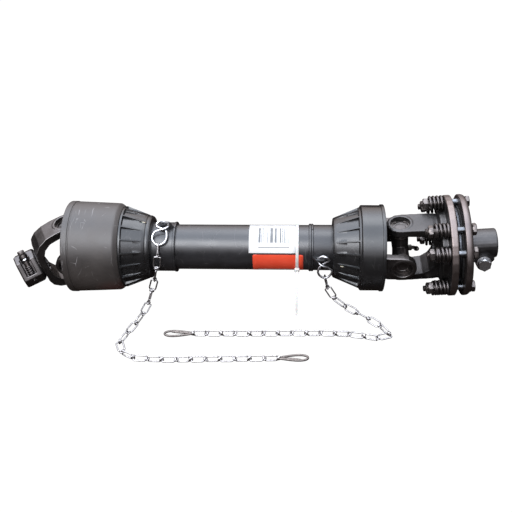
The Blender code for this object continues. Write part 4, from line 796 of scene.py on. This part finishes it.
# %% Forgings
def forging(node, finish, voxel=0.0008, passes=7, strength=0.6):
    """Copy of a solid, rebuilt from voxels and relaxed."""
    mesh = frame["nodes"][node].data.copy()
    bm = bmesh.new()
    bm.from_mesh(mesh)
    bmesh.ops.remove_doubles(bm, verts=bm.verts, dist=1e-6)
    bm.to_mesh(mesh)
    bm.free()
    rough = bpy.data.objects.new(node + "_rough", mesh)
    bpy.context.scene.collection.objects.link(rough)
    cubes = rough.modifiers.new("voxels", "REMESH")
    cubes.mode, cubes.voxel_size, cubes.use_smooth_shade = "VOXEL", voxel, True
    relax = rough.modifiers.new("relax", "SMOOTH")
    relax.factor, relax.iterations = strength, passes
    ready = rough.evaluated_get(bpy.context.evaluated_depsgraph_get())
    made = bpy.data.meshes.new_from_object(ready)
    bpy.data.objects.remove(rough)
    made.name = node + "_forging"
    print(node, "forging faces:", len(made.polygons))
    return dress(node + "_forging", made, finish, node, edge=60.0)


forging("tractor_yoke", forged_black, 0.0007)
forging("left_tube_fork", forged_black, 0.0010)
forging("right_tube_fork", forged_black, 0.0009)
forging("clutch_flange_fork", flange_black, 0.0010, 5)
forging("clutch_hub", flange_black, 0.0008, 5)
forging("left_cross", forged_black, 0.0007, 6)
forging("right_cross", forged_black, 0.0007, 6)
for side in ("left", "right"):
    forging(side + "_roll_pin", ground_steel, 0.0005, 2)

# %% [markdown]
# ## Bearing caps and circlips
#
# A needle bearing cap closes each end of the crosses. It is a pressed cup, with a shallow dish
# in its floor. A circlip holds it in the yoke: an open ring of spring steel with two small eyes.
# The ring is a flat section carried round three hundred degrees.

# %% Caps and circlips
cap = np.concatenate([
    [(0.0430, 0.0), (0.0430, 0.0106), (0.0305, 0.0106), (0.0305, 0.0148)],
    rounded(((0.0450, 0.0151), (0.0460, 0.0146), (0.0460, 0.0090), (0.0453, 0.0082)), 0.0005, 4),
    [(0.0453, 0.0)]])
CAP_PLACES = {
    "left_cap_front": SHAFT @ moved(LEFT_JOINT_X) @ turned("Z", -90),
    "left_cap_back": SHAFT @ moved(LEFT_JOINT_X) @ turned("Z", 90),
    "right_cap_front": SHAFT @ moved(RIGHT_JOINT_X) @ turned("Z", -90),
    "right_cap_back": SHAFT @ moved(RIGHT_JOINT_X) @ turned("Z", 90),
    "left_cap_top": LEFT_CROSS @ turned("Y", -90), "left_cap_bottom": LEFT_CROSS @ turned("Y", 90),
    "right_cap_top": CLUTCH @ turned("Y", -90), "right_cap_bottom": CLUTCH @ turned("Y", 90)}


def circlip():
    """Open ring: radius from an arc, section a small rectangle, wider at its two eyes."""
    a = np.radians(np.linspace(30, 330, 61))[:, None]
    eye = np.exp(-((np.degrees(a) - 34) / 9) ** 2) + np.exp(-((np.degrees(a) - 326) / 9) ** 2)
    inner = 0.0128 - 0.0028 * eye
    r = np.concatenate([inner, inner * 0 + 0.0150, inner * 0 + 0.0150, inner], 1)
    x = np.array([[0.0463, 0.0463, 0.0476, 0.0476]]) + 0 * r
    return surface(capped(np.stack([x, r * np.cos(a), r * np.sin(a)], -1)))


for node, place in CAP_PLACES.items():
    dress(node + "_shell", mesh_of(node, [placed(spun(cap, 48, closed=False), place)]),
          forged_black, node)
    clip = mesh_of(node + "_circlip", [placed(circlip(), place)])
    dress(node.replace("cap", "circlip"), clip, bolt_black, body=frame["nodes"][node]["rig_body"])
print("caps and circlips:", len(CAP_PLACES))

# %% [markdown]
# ## Bolts, nuts and threads
#
# A hexagon has a radius too: it is the half width across its flats, divided by the cosine of the
# angle from the nearest flat. Where the turned profile is smaller, the profile wins, and that
# makes the chamfers on the corners. A thread is a small rise of the radius that climbs one pitch
# in one turn.

# %% Bolts
THREAD_PITCH, THREAD_RISE, CHAMFER = 0.0015, 0.00045, 0.0011


def hexagon(across_flats, a):
    """Half width over cos of the angle from the nearest flat."""
    return across_flats / 2 / np.cos((a + math.pi / 6) % (math.pi / 3) - math.pi / 6)


def bolt(sections, steps=60):
    """Spin a profile from axis to axis. A section is (x, radius, flats, thread).

    With flats the radius is at most the hexagon's; with a thread it swings by the rise both ways,
    as a triangle wave of x / pitch + a / 2 pi.
    """
    table = np.array(sections, float)
    flats, thread = table[:, 2:3], table[:, 3:4]

    def shape(x, r, a):
        wave = np.abs(((x / THREAD_PITCH + a / math.tau) % 1.0) * 2 - 1) - 0.5
        r = r + thread * 2 * THREAD_RISE * wave
        return np.where(flats > 0, np.minimum(r, hexagon(np.maximum(flats, 1e-6), a)), r)
    return spun(table[:, :2], steps, closed=False, shape=shape)


def hex_part(start, end, flats, grow=1):
    """Sections of a hexagon with both edges chamfered by a cone."""
    corner = flats / 2 / math.cos(math.pi / 6)
    cut = grow * CHAMFER
    return [(start, flats / 2 * 0.95, flats, 0), (start + cut, corner + 0.0001, flats, 0),
            (end - cut, corner + 0.0001, flats, 0), (end, flats / 2 * 0.95, flats, 0)]


def thread_part(start, end, radius):
    """Sections six times in each pitch, with the thread switched on."""
    count = max(int(abs(end - start) / (THREAD_PITCH / 6)), 2)
    return [(start + (end - start) * k / count, radius, 0, 1) for k in range(count + 1)]


clutch_bolt = ([(0.0347, 0.0, 0, 0), (0.0347, 0.0038, 0, 0)] + thread_part(0.0354, 0.0394, 0.0047)
               + [(0.0394, 0.0055, 0, 0)] + hex_part(0.0394, 0.0474, 0.0170)
               + [(0.0474, 0.0050, 0, 0), (0.0840, 0.0050, 0, 0)]
               + thread_part(0.0842, 0.0930, 0.0047) + [(0.1058, 0.0050, 0, 0)]
               + hex_part(0.1058, 0.1123, 0.0170) + [(0.1119, 0.0066, 0, 0), (0.1119, 0.0, 0, 0)])
BOLT_CIRCLE = 0.0706
BOLT_ANGLES = (30, 60, 120, 150, 210, 240, 300, 330)
BOLT_PLACES = [CLUTCH @ moved(0.0, -BOLT_CIRCLE * math.cos(math.radians(a)),
                              BOLT_CIRCLE * math.sin(math.radians(a))) for a in BOLT_ANGLES]
for number, place in enumerate(BOLT_PLACES, 1):
    node = f"clutch_bolt_{number}"
    turn = turned("X", 37.0 * number)
    dress(node + "_shell", mesh_of(node, [placed(bolt(clutch_bolt), place @ turn)]), bolt_black,
          node, edge=28.0)
print("bolts:", len(BOLT_PLACES), "with", len(clutch_bolt), "sections each")

# %% [markdown]
# ## Clutch springs
#
# Each spring is a thick wire in a helix. Its last turn at each end is squeezed flat against its
# neighbour, as on a real pressure spring, so the climb is slow at the ends and quick between.

# %% Springs
def spring(start, end, radius, thickness, turns, steps=30, sides=12):
    """Helix (x(t), R cos, R sin), where x(t) climbs by an eased share at the end turns."""
    t = np.linspace(0, turns, int(turns * steps) + 1)
    climb = np.clip((t - 0.7) / (turns - 1.4), 0, 1)
    x = start + thickness + (end - start - 2 * thickness) * climb
    path = np.stack([x, radius * np.cos(math.tau * t), radius * np.sin(math.tau * t)], -1)
    size = thickness * (1 - 0.25 * (np.abs(t - turns / 2) > turns / 2 - 0.15))
    return wire(path, size, (1.0, 0.0, 0.0), sides)


for number, place in enumerate(BOLT_PLACES, 1):
    node = f"clutch_spring_{number}"
    coil = spring(0.0478, 0.0716, 0.0102, 0.0023, 4.6)
    dress(node + "_shell", mesh_of(node, [placed(coil, place @ turned("X", 61.0 * number))]),
          spring_black, node, edge=60.0)
dress("pin_spring_shell", mesh_of("pin_spring_shell", [placed(
    spring(-0.0085, 0.0052, 0.0046, 0.0010, 4.5, 28, 8), PIN)]),
    spring_black, "release_pin_spring", edge=60.0)
print("corners of a clutch spring:", len(coil[0]))

# %% [markdown]
# ## Pressure plate, linings and clamp bolt
#
# The pressure plate is turned from plate steel and its outer edge is well rounded. The linings
# are flat rings. The clamp bolt closes the boss on the hub, and has a plated washer.

# %% Clutch discs and clamp
pressure = rounded((
    (0.0940, 0.0246), (0.0940, 0.0816), (0.0950, 0.0824), (0.1010, 0.0824), (0.1055, 0.0790),
    (0.1055, 0.0300), (0.1045, 0.0285), (0.1045, 0.0246)),
    (0, 0.0006, 0.0006, 0.0040, 0.0040, 0.001, 0.001, 0), 6)
dress("pressure_plate_shell", mesh_of("pressure_plate_shell", [placed(spun(pressure, 144), CLUTCH)]),
      plate_black, "clutch_pressure_plate")
# The linings are near black, partly their own colour, partly painted shade of the gap.
for node, start in (("friction_disc_left", 0.0833), ("friction_disc_right", 0.0907)):
    disc = rounded(((start, 0.040), (start, 0.065), (start + 0.003, 0.065), (start + 0.003, 0.040)),
                   0.0004, 3)
    dress(node + "_shell", mesh_of(node, [placed(spun(disc, 96), CLUTCH)]), lining_and_painted_shade, node)

# Sleeves of lighter steel on the bolts in the gap between the plates: a painted highlight.
shank = ((0.0832, 0.0049), (0.0832, 0.0052), (0.0938, 0.0052), (0.0938, 0.0049))
dress("bolt_shanks", mesh_of("bolt_shanks", [placed(spun(shank, 24), p) for p in BOLT_PLACES]),
      shank_highlight_steel, body=frame["nodes"]["clutch_bolt_1"]["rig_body"])
rim = rounded(((0.0868, 0.0630), (0.0868, 0.0643), (0.0902, 0.0643), (0.0902, 0.0630)), 0.0003, 3)
dress("centre_plate_rim", mesh_of("centre_plate_rim", [placed(spun(rim, 96), CLUTCH)]),
      ground_steel, body=frame["nodes"]["clutch_hub"]["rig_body"])

CLAMP = (CLUTCH @ moved(0.131) @ turned("X", -17.0) @ moved(0.0, 0.0, -0.026)
         @ turned("Z", -90))
clamp_bolt = ([(0.03085, 0.0, 0, 0), (0.03085, 0.0070, 0, 0)]
              + hex_part(0.03085, 0.02335, 0.019, -1)
              + [(0.02335, 0.0060, 0, 0), (-0.0290, 0.0060, 0, 0)]
              + thread_part(-0.0292, -0.0330, 0.0056)
              + [(-0.03355, 0.0048, 0, 0), (-0.03355, 0.0, 0, 0)])
dress("clamp_bolt_shell", mesh_of("clamp_bolt_shell", [placed(bolt(clamp_bolt), CLAMP)]), bolt_zinc,
      "clamp_bolt", edge=28.0)
washer = rounded(((0.02055, 0.0063), (0.02055, 0.0122), (0.02305, 0.0122), (0.02305, 0.0063)),
                 0.0004, 3)
dress("clamp_washer_shell", mesh_of("clamp_washer_shell", [placed(spun(washer, 48), CLAMP)]),
      bolt_zinc, "clamp_washer")


def nut_ring(low, high, bore, flats):
    """Closed section: bore wall and hexagon with chamfers."""
    corner = flats / 2 / math.cos(math.pi / 6)
    table = np.array([(low, bore, 0), (low, flats / 2 * 0.95, 1), (low + 0.001, corner, 1),
                      (high - 0.001, corner, 1), (high, flats / 2 * 0.95, 1), (high, bore, 0)])
    on = table[:, 2:3]
    return spun(table[:, :2], 60, shape=lambda x, r, a: np.where(
        on > 0, np.minimum(r, hexagon(flats, a)), r))


dress("clamp_nut_shell", mesh_of("clamp_nut_shell", [placed(
    nut_ring(-0.03055, -0.02055, 0.0063, 0.019), CLAMP)]), bolt_zinc, "clamp_nut", edge=28.0)
print("clamp bolt at", [round(c, 4) for c in CLAMP.translation])

# %% [markdown]
# ## Push pin and grease nipple
#
# Pressing the pin lets the yoke slide onto the tractor's shaft. A bright turned ball sits on its
# stem, and the small spring below the ball is drawn short, so that there is room for the press.
# The grease nipple is an elbow: a hexagon, a bent neck and a small ball head.

# %% Pin and nipple
pin = rounded(((-0.0110, 0.0), (-0.0110, 0.0020), (-0.0095, 0.0030), (0.0195, 0.0030),
               (0.0200, 0.0042), (0.0265, 0.0042), (0.0270, 0.0050), (0.0278, 0.0056),
               (0.0325, 0.0056), (0.0335, 0.0046), (0.0335, 0.0)), 0.0008, 4, closed=False)
dress("release_pin_shell", mesh_of("release_pin_shell", [placed(spun(pin, 40, closed=False), PIN)]),
      bolt_black, "release_pin")
a = np.linspace(-math.pi / 2, math.pi / 2, 15)
ball = np.stack([0.0165 + 0.0036 * np.sin(a), 0.0042 * np.cos(a)], -1)
dress("release_pin_ball", mesh_of("release_pin_ball", [placed(spun(ball, 32, closed=False), PIN)]),
      pin_steel, body=frame["nodes"]["release_pin"]["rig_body"])

ELBOW = CLUTCH @ moved(0.0135) @ turned("X", 30.0) @ Matrix.Scale(1.25, 4)
hexagon_base = np.array([(0.0, 0.0), (0.0, 0.0040), (0.0035, 0.0040), (0.0042, 0.0034),
                         (0.0042, 0.0)])
base = spun(hexagon_base, 36, closed=False,
            shape=lambda x, r, a: np.minimum(r, hexagon(0.0070, a)))
bend = smooth_path(((0.0035, 0, 0), (0.0060, 0, 0), (0.0078, 0.0, -0.0012), (0.0092, 0, -0.0034)), 8)
neck = wire(bend, 0.0023, (0.0, 1.0, 0.0), 16)
head = rounded(((0.0, 0.0), (0.0, 0.0020), (0.0020, 0.0020), (0.0026, 0.0034), (0.0042, 0.0034),
                (0.0052, 0.0020), (0.0062, 0.0030), (0.0074, 0.0020), (0.0076, 0.0)),
               0.0005, 3, closed=False)
head = placed(spun(head, 24, closed=False), moved(0.0086, 0, -0.0024) @ turned("Y", 57.0))
dress("grease_nipple_shell", mesh_of("grease_nipple_shell", [
    placed(s, ELBOW) for s in (base, neck, head)]), nipple_steel, "right_grease_nipple")
print("pin at", [round(c, 4) for c in PIN.translation])

# %% [markdown]
# ## The rings in the lugs
#
# Each ring is a length of round wire, bent through the lug's hole, over its shoulder, and down
# to a drop-shaped eye that holds the chain. Its route is given as distance along the shaft, round
# it and out from it, and is bent round the shaft at the lug.

# %% Rings
def ring_route(side, slope):
    """Chosen points of a ring: (along, round, out) in metres; the eye leans in by the slope."""
    def out(distance):
        return HOLE_OUT - slope * distance
    if side == "left":
        return ((0.0, 0.0, HOLE_OUT), (0.0010, 0.0060, 0.0475), (-0.0030, 0.0105, 0.0478),
                (-0.0120, 0.0125, 0.0462), (-0.0200, 0.0165, 0.0444), (-0.0235, 0.0235, out(0.0235)),
                (-0.0195, 0.0315, out(0.0315)), (-0.0120, 0.0355, out(0.0355)),
                (-0.0035, 0.0315, out(0.0315)), (0.0000, 0.0235, out(0.0235)),
                (-0.0005, 0.0150, 0.0434), (-0.0045, 0.0085, 0.0440), (-0.0120, 0.0050, 0.0444),
                (-0.0175, 0.0020, 0.0450), (-0.0178, -0.0010, 0.0482), (-0.0130, -0.0050, 0.0505),
                (-0.0060, -0.0056, 0.0488))
    return ((0.0, 0.0, HOLE_OUT), (-0.0015, 0.0062, 0.0473), (-0.0075, 0.0105, out(0.0105) + 0.0042),
            (-0.0160, 0.0150, out(0.0150) + 0.0012), (-0.0230, 0.0220, out(0.0220)),
            (-0.0195, 0.0310, out(0.0310)), (-0.0120, 0.0355, out(0.0355)),
            (-0.0035, 0.0310, out(0.0310)), (-0.0005, 0.0230, out(0.0230)),
            (-0.0040, 0.0140, 0.0434), (-0.0110, 0.0080, 0.0436), (-0.0175, 0.0035, 0.0448),
            (-0.0178, 0.0, 0.0482), (-0.0130, -0.0050, 0.0505), (-0.0060, -0.0056, 0.0488))


def hung(points, hole_x, degrees, mirror):
    """Bend a route round the shaft: hole + along * x + round * down + out * outwards."""
    a = math.radians(degrees)
    outwards = np.array((0.0, -math.cos(a), math.sin(a)))
    down = np.array((0.0, -math.sin(a), -math.cos(a)))
    along, across, out = np.array(points).T[:, :, None]
    hole = np.array((hole_x, 0, 0))
    return hole + mirror * along * np.array((1, 0, 0)) + across * down + out * outwards


ring_bottom = {}
for side, hole_x, degrees, mirror, slope in (("left", -0.1350, 90.0, 1.0, 0.375),
                                             ("right", 0.1095, 17.0, -1.0, 0.150)):
    route = ring_route(side, slope)
    knots = hung(route, hole_x, degrees, mirror)
    ring_bottom[side] = knots[np.argmax(np.array(route)[:, 1])]
    a = math.radians(degrees)
    shell = wire(smooth_path(knots, 8, True), 0.0018, (0.0, -math.cos(a), math.sin(a)), 12, True)
    dress(f"{side}_ring_shell", mesh_of(f"{side}_ring_shell", [placed(shell, SHAFT)]), ring_zinc,
          f"{side}_ring", edge=60.0)
    print(side, "ring's lowest point:", np.round(ring_bottom[side], 4))

# %% [markdown]
# ## The chains
#
# These are knotted chains. One link is a piece of wire with a long eye, a knot that is wound
# twice round its waist, and a short eye. Every other link is turned a quarter. The links stand
# along the route so that their middles are one pitch apart, and each looks along the line from
# the last joint to the next. That walk is the one place where a step needs the step before it.

# %% Chains
LINK_PITCH, LINK_COUNT = 0.0227, 21
LINKS_TO_LIE_FLAT = 6               # the first ones hang edge on, and then they turn over
HALF_LINK, LINK_WIRE, LINK_PLAY = 0.01325, 0.0025, 0.0005
RING_HALF_WIRE, HOOK_HALF_WIRE, HALF_HOOK = 0.0015, 0.0019, 0.0231
LEFT_ROUTE = (
    (-0.1483, -0.0460, 0.097), (-0.1510, -0.0510, 0.080), (-0.1560, -0.0540, 0.055),
    (-0.1640, -0.0580, 0.030), (-0.1705, -0.0680, 0.0105), (-0.1755, -0.0840, 0.0068),
    (-0.1810, -0.1005, 0.0068), (-0.1889, -0.1180, 0.0068), (-0.1960, -0.1335, 0.0068),
    (-0.2048, -0.1530, 0.0068), (-0.2005, -0.1690, 0.0068), (-0.1825, -0.1825, 0.0068),
    (-0.1505, -0.1862, 0.0068), (-0.1114, -0.1865, 0.0068), (-0.0726, -0.1850, 0.0068),
    (-0.0107, -0.1829, 0.0068), (0.0603, -0.1805, 0.0068), (0.1250, -0.1793, 0.0068))
RIGHT_ROUTE = (
    (0.1240, -0.0530, 0.042), (0.1330, -0.0575, 0.0235), (0.1480, -0.0650, 0.0095),
    (0.1640, -0.0735, 0.0068), (0.1773, -0.0835, 0.0068), (0.1935, -0.0960, 0.0068),
    (0.2075, -0.1085, 0.0068), (0.2195, -0.1190, 0.0068), (0.2240, -0.1300, 0.0068),
    (0.2120, -0.1380, 0.0068), (0.1944, -0.1350, 0.0068), (0.1500, -0.1282, 0.0068),
    (0.0816, -0.1281, 0.0068), (0.0020, -0.1303, 0.0068), (-0.0967, -0.1320, 0.0068),
    (-0.1600, -0.1390, 0.0068))
EYES = np.array(((-12.0, 0.0), (-11.8, 3.4), (-10.4, 5.2), (-5.0, 5.3), (1.5, 5.3), (5.4, 5.0),
                 (7.2, 3.2), (7.8, 1.3), (8.8, 1.3), (9.8, 3.0), (11.3, 2.7), (12.0, 0.0),
                 (11.3, -2.7), (9.8, -3.0), (8.8, -1.3), (7.8, -1.3), (7.2, -3.2), (5.4, -5.0),
                 (1.5, -5.3), (-5.0, -5.3), (-10.4, -5.2), (-11.8, -3.4))) / 1000


def link_shells():
    """One link in its own frame, x along and y across: the eyes' wire and two turns of a knot."""
    eyes = smooth_path(np.column_stack([EYES, np.zeros(len(EYES))]), 4, True)
    shells = [wire(eyes, LINK_WIRE / 2, (0.0, 0.0, 1.0), 8, True)]
    a = np.linspace(0, math.tau * 2.1, 40)
    knot = np.stack([0.0074 + 0.0019 * a / a[-1], 0.0031 * np.cos(a), 0.0024 * np.sin(a)], -1)
    shells.append(wire(knot, 0.0010, (1.0, 0.0, 0.0), 8))
    return shells


def link_places(start, route):
    """Centre, direction and width of each link: steps of one pitch along a smooth route."""
    ground = np.array(route) - np.array((0.0, 0.0, SHAFT_HEIGHT))
    curve = smooth_path(np.concatenate([[start], ground]), 24)
    begin = curve[1] - curve[0]
    first = HALF_LINK - LINK_WIRE - RING_HALF_WIRE - LINK_PLAY - LINK_PITCH / 2
    marks = [curve[0] + begin / np.linalg.norm(begin) * first]
    index = 1
    for _ in range(LINK_COUNT):
        while index < len(curve) and np.linalg.norm(curve[index] - marks[-1]) < LINK_PITCH:
            index += 1
        a, b = curve[index - 1], curve[index]
        span, back = b - a, a - marks[-1]
        half, rest = span @ back, back @ back - LINK_PITCH ** 2
        root = (-half + math.sqrt(half * half - span @ span * rest)) / (span @ span)
        marks.append(a + span * root)
    marks = np.array(marks)
    along = np.diff(marks, axis=0)
    along /= np.linalg.norm(along, axis=1, keepdims=True)
    middle = (marks[1:] + marks[:-1]) / 2
    share = eased((np.arange(LINK_COUNT) - 1) / LINKS_TO_LIE_FLAT)[:, None]
    lean = np.array((0.0, -1.0, 0.0)) * (1 - share) + np.array((0.0, 0.0, 1.0)) * share
    width = lean - along * (along * lean).sum(1, keepdims=True)
    width /= np.linalg.norm(width, axis=1, keepdims=True)
    odd = (np.arange(LINK_COUNT) % 2 == 1)[:, None]
    return middle, along, np.where(odd, np.cross(along, width), width)


def chain(start, route):
    """All links of a chain as one array: middle + x * along + y * width + z * (along x width)."""
    middle, along, width = link_places(start, route)
    axes = np.stack([along, width, np.cross(along, width)], 1)
    shells = []
    for points, quads in link_shells():
        every = middle[:, None] + points[None] @ axes
        steps = np.arange(LINK_COUNT)[:, None, None] * len(points)
        shells.append((every.reshape(-1, 3), (quads[None] + steps).reshape(-1, 4)))
    return shells, (middle[-1], along[-1], width[-1])


for side, route in (("left", LEFT_ROUTE), ("right", RIGHT_ROUTE)):
    shells, (middle, along, width) = chain(ring_bottom[side], route)
    dress(f"{side}_chain_links", mesh_of(f"{side}_chain_links", [placed(s, SHAFT) for s in shells]),
          chain_zinc, f"{side}_chain", edge=60.0)
    print(side, "chain ends at", np.round(middle + np.array(SHAFT.translation), 3))
    # Snap hook: a pear of thick wire, with a flat tongue that springs shut along one side.
    flat = np.cross(along, width)
    centre = middle + along * (HALF_LINK - LINK_WIRE - HOOK_HALF_WIRE - LINK_PLAY + HALF_HOOK)
    a = np.linspace(0, math.tau, 72, endpoint=False)[:, None]
    swell = 0.24 + 0.76 * (1 - np.cos(a)) / 2
    pear = centre - along * HALF_HOOK * np.cos(a) + flat * 0.0078 * swell * np.sin(a)
    tongue = centre + along * np.linspace(-0.0215, 0.0120, 24)[:, None] + flat * (
        0.0006 + 0.0036 * np.linspace(0.0, 1.0, 24)[:, None] ** 2)
    shells = [wire(pear, 0.0018, width, 12, True), wire(tongue, 0.0016, width, 10)]
    dress(f"{side}_hook_wire", mesh_of(f"{side}_hook_wire", [placed(s, SHAFT) for s in shells]),
          hook_steel, f"{side}_snap_hook", edge=60.0)

# %% [markdown]
# ## Cable tie
#
# A white nylon tie sits round the tube at the edge of the white label. Its band is a flat strip,
# its head a small block with rounded corners, and its tail a tapering strip in a slight bow.

# %% Tie
TIE_X, TIE_ANGLE = 0.076, -25.0
band = rounded(((TIE_X - 0.0024, 0.0375), (TIE_X - 0.0024, 0.0387), (TIE_X + 0.0024, 0.0387),
                (TIE_X + 0.0024, 0.0375)), 0.0003, 3)
t = np.linspace(0, 1, 30)[:, None]
half = 0.0024 * (1 - 0.35 * t)
corners = np.array([(-1, -1), (-0.9, -1), (0.9, -1), (1, -1), (1, 1), (0.9, 1), (-0.9, 1), (-1, 1)])
tail = np.stack([0.074 * t + 0 * corners[:, 0], half * corners[:, 0],
                 0.0045 * np.sin(math.pi * t) + 0.0006 * corners[:, 1] * (1 - 0.3 * t)], -1)
lean = math.radians(TIE_ANGLE)
tail_place = (moved(TIE_X, -0.0405 * math.cos(lean), 0.0405 * math.sin(lean)) @ turned("Z", -90)
              @ turned("Y", 48.0))
head_place = turned("X", 90.0 - TIE_ANGLE) @ moved(TIE_X, 0.0, 0.0406)
dress("cable_tie_strip", mesh_of("cable_tie_strip", [placed(s, SHAFT @ m) for s, m in (
    (spun(band, 120), moved()), (pillow((0.0042, 0.0040, 0.0024)), head_place),
    (surface(capped(tail)), tail_place))]), tie_nylon, "cable_tie")
print("points along the tie's tail:", len(tail))

# %% [markdown]
# ## Labels
#
# A label is a patch of the tube, a tenth of a millimetre proud of it. Its corners are round: near
# the two ends the patch narrows by a quarter circle. Its own map, from 0 to 1 both ways, says
# where the print goes. Solidify gives it the thickness of film.

# %% Labels
LABEL_RADIUS = 0.03728


def label(name, finish, x_low, x_high, top, bottom, corner):
    """Patch of a cylinder: angle runs from top to bottom, half width shrinks near both ends."""
    radius = LABEL_RADIUS
    half_high = math.radians(top - bottom) / 2 * radius
    half_wide = (x_high - x_low) / 2
    edge = half_high - corner + corner * np.sin(np.linspace(0, math.pi / 2, 9))
    v = np.concatenate([-edge[::-1], np.linspace(-half_high + corner, half_high - corner, 40)[1:-1],
                        edge])[:, None]
    over = np.maximum(np.abs(v) - (half_high - corner), 0)
    wide = half_wide - corner + np.sqrt(np.maximum(corner ** 2 - over ** 2, 0))
    u = np.linspace(-1, 1, 13)[None, :]
    a = math.radians((top + bottom) / 2) + v / radius
    x = (x_low + x_high) / 2 + u * wide
    points = np.stack([x, -radius * np.cos(a) + 0 * u, radius * np.sin(a) + 0 * u], -1)
    corners, quads = placed(surface(points, close_columns=False), SHAFT)
    mesh = mesh_of(name, [(corners, quads)], merge=False)
    layer = mesh.uv_layers.new(name="label")
    flat = np.stack([(x - x_low) / (x_high - x_low), 0 * u + v / half_high / 2 + 0.5], -1)
    layer.data.foreach_set("uv", flat.reshape(-1, 2)[quads.ravel()].astype(np.float32).ravel())
    obj = dress(name, mesh, finish, body="guard_outer")
    film = obj.modifiers.new("film", "SOLIDIFY")
    film.thickness, film.offset = 0.00012, 0.0
    print(name, "is", round(x_high - x_low, 4), "by", round(2 * half_high, 4))


label("white_label", white_label, -0.0020, 0.0740, 118.0, 26.0, 0.0008)
label("red_label", red_label, 0.0040, 0.0860, 22.0, -48.0, 0.0030)

# %% [markdown]
# ## Floor and light
#
# The object stands on a plain pale floor in a bright room. The floor is white in every view, but
# keeps the object's shadow: to the camera, and through glass, most of its colour is its own
# light. Mirrored in the steel, the floor is dark and the sky climbs steeply, with a low bright
# band behind the object, so that black metal keeps dark sides under a light top. Two large soft
# lamps and a sky that is dim near the floor light everything else.

# %% Floor and light
def seen_directly(tree):
    """1 for camera and transmission rays."""
    path = add(tree, "ShaderNodeLightPath")
    return times(tree, path.outputs["Is Camera Ray"], path.outputs["Is Transmission Ray"], "MAXIMUM")


WHITE = (1.0, 1.0, 1.0, 1.0)
HALF_FLOOR = 6.0
floor_mesh = mesh_of("floor", [surface(np.array(
    [[(x, y, 0.0) for x in (-HALF_FLOOR, HALF_FLOOR)] for y in (-HALF_FLOOR, HALF_FLOOR)]),
    close_columns=False)])
floor = bpy.data.objects.new("floor", floor_mesh)
bpy.context.scene.collection.objects.link(floor)
floor_paint, tree, shader, where = blank("matt white floor", 0.9)
shader.inputs["Specular IOR Level"].default_value = 0.0
tree.links.new(mixed(tree, add(tree, "ShaderNodeLightPath").outputs["Is Glossy Ray"],
                     linear("#73655d"), linear("#332c29")), shader.inputs["Base Color"])
glow = add(tree, "ShaderNodeEmission", {"Color": WHITE, "Strength": 1.15})
share = times(tree, seen_directly(tree), 0.90)
blend = add(tree, "ShaderNodeMixShader", {0: share, 1: shader.outputs["BSDF"],
                                          2: glow.outputs["Emission"]})
tree.links.new(blend.outputs["Shader"], tree.nodes["Material Output"].inputs["Surface"])
floor_mesh.materials.append(floor_paint)

world = bpy.data.worlds.new("room")
world.use_nodes = True
bpy.context.scene.world = world
tree = world.node_tree
room = tree.nodes["Background"]
toward = add(tree, "ShaderNodeSeparateXYZ", {
    "Vector": add(tree, "ShaderNodeTexCoord").outputs["Generated"]}).outputs
rise = spread(tree, toward["Z"], -0.05, 0.85)
seen = seen_directly(tree)
sky = mixed(tree, rise, linear("#cdb9ac"), linear("#e0e9f8"))
tree.links.new(mixed(tree, seen, sky, WHITE), room.inputs["Color"])
plain = spread(tree, rise, 0.0, 1.0, 0.18, 1.15)
lift = spread(tree, toward["Z"], 0.08, 0.66)
mirrored = times(tree, times(tree, times(tree, lift, lift), 6.0),
                 spread(tree, toward["X"], -0.6, 0.8, 1.2, 0.5))
behind = times(tree, spread(tree, toward["Y"], 0.50, 0.95), spread(tree, toward["Z"], -0.02, 0.10))
mirrored = times(tree, mirrored, times(tree, behind, 2.2), "ADD")
mirrored = times(tree, mirrored, 0.05, "ADD")
glossy = add(tree, "ShaderNodeLightPath").outputs["Is Glossy Ray"]
tree.links.new(times(tree, spread(tree, glossy, 0.0, 1.0, plain, mirrored), seen, "MAXIMUM"),
               room.inputs["Strength"])


def softbox(name, place, target, size, power):
    """Rectangular area lamp that looks at a point."""
    lamp = bpy.data.lights.new(name, "AREA")
    lamp.shape, lamp.size, lamp.size_y, lamp.energy = "RECTANGLE", size[0], size[1], power
    obj = bpy.data.objects.new(name, lamp)
    obj.location = place
    obj.rotation_euler = (Vector(target) - Vector(place)).to_track_quat("-Z", "Y").to_euler()
    bpy.context.scene.collection.objects.link(obj)
    print(name, "stands", round((Vector(target) - obj.location).length, 2), "m away")


softbox("key_lamp", (-0.5, -0.9, 1.6), (0.0, 0.0, 0.05), (1.2, 0.8), 24.5)
softbox("top_lamp", (0.3, 0.9, 1.8), (0.0, 0.05, 0.05), (1.6, 0.8), 14.0)
bpy.context.scene.view_settings.view_transform = "Standard"
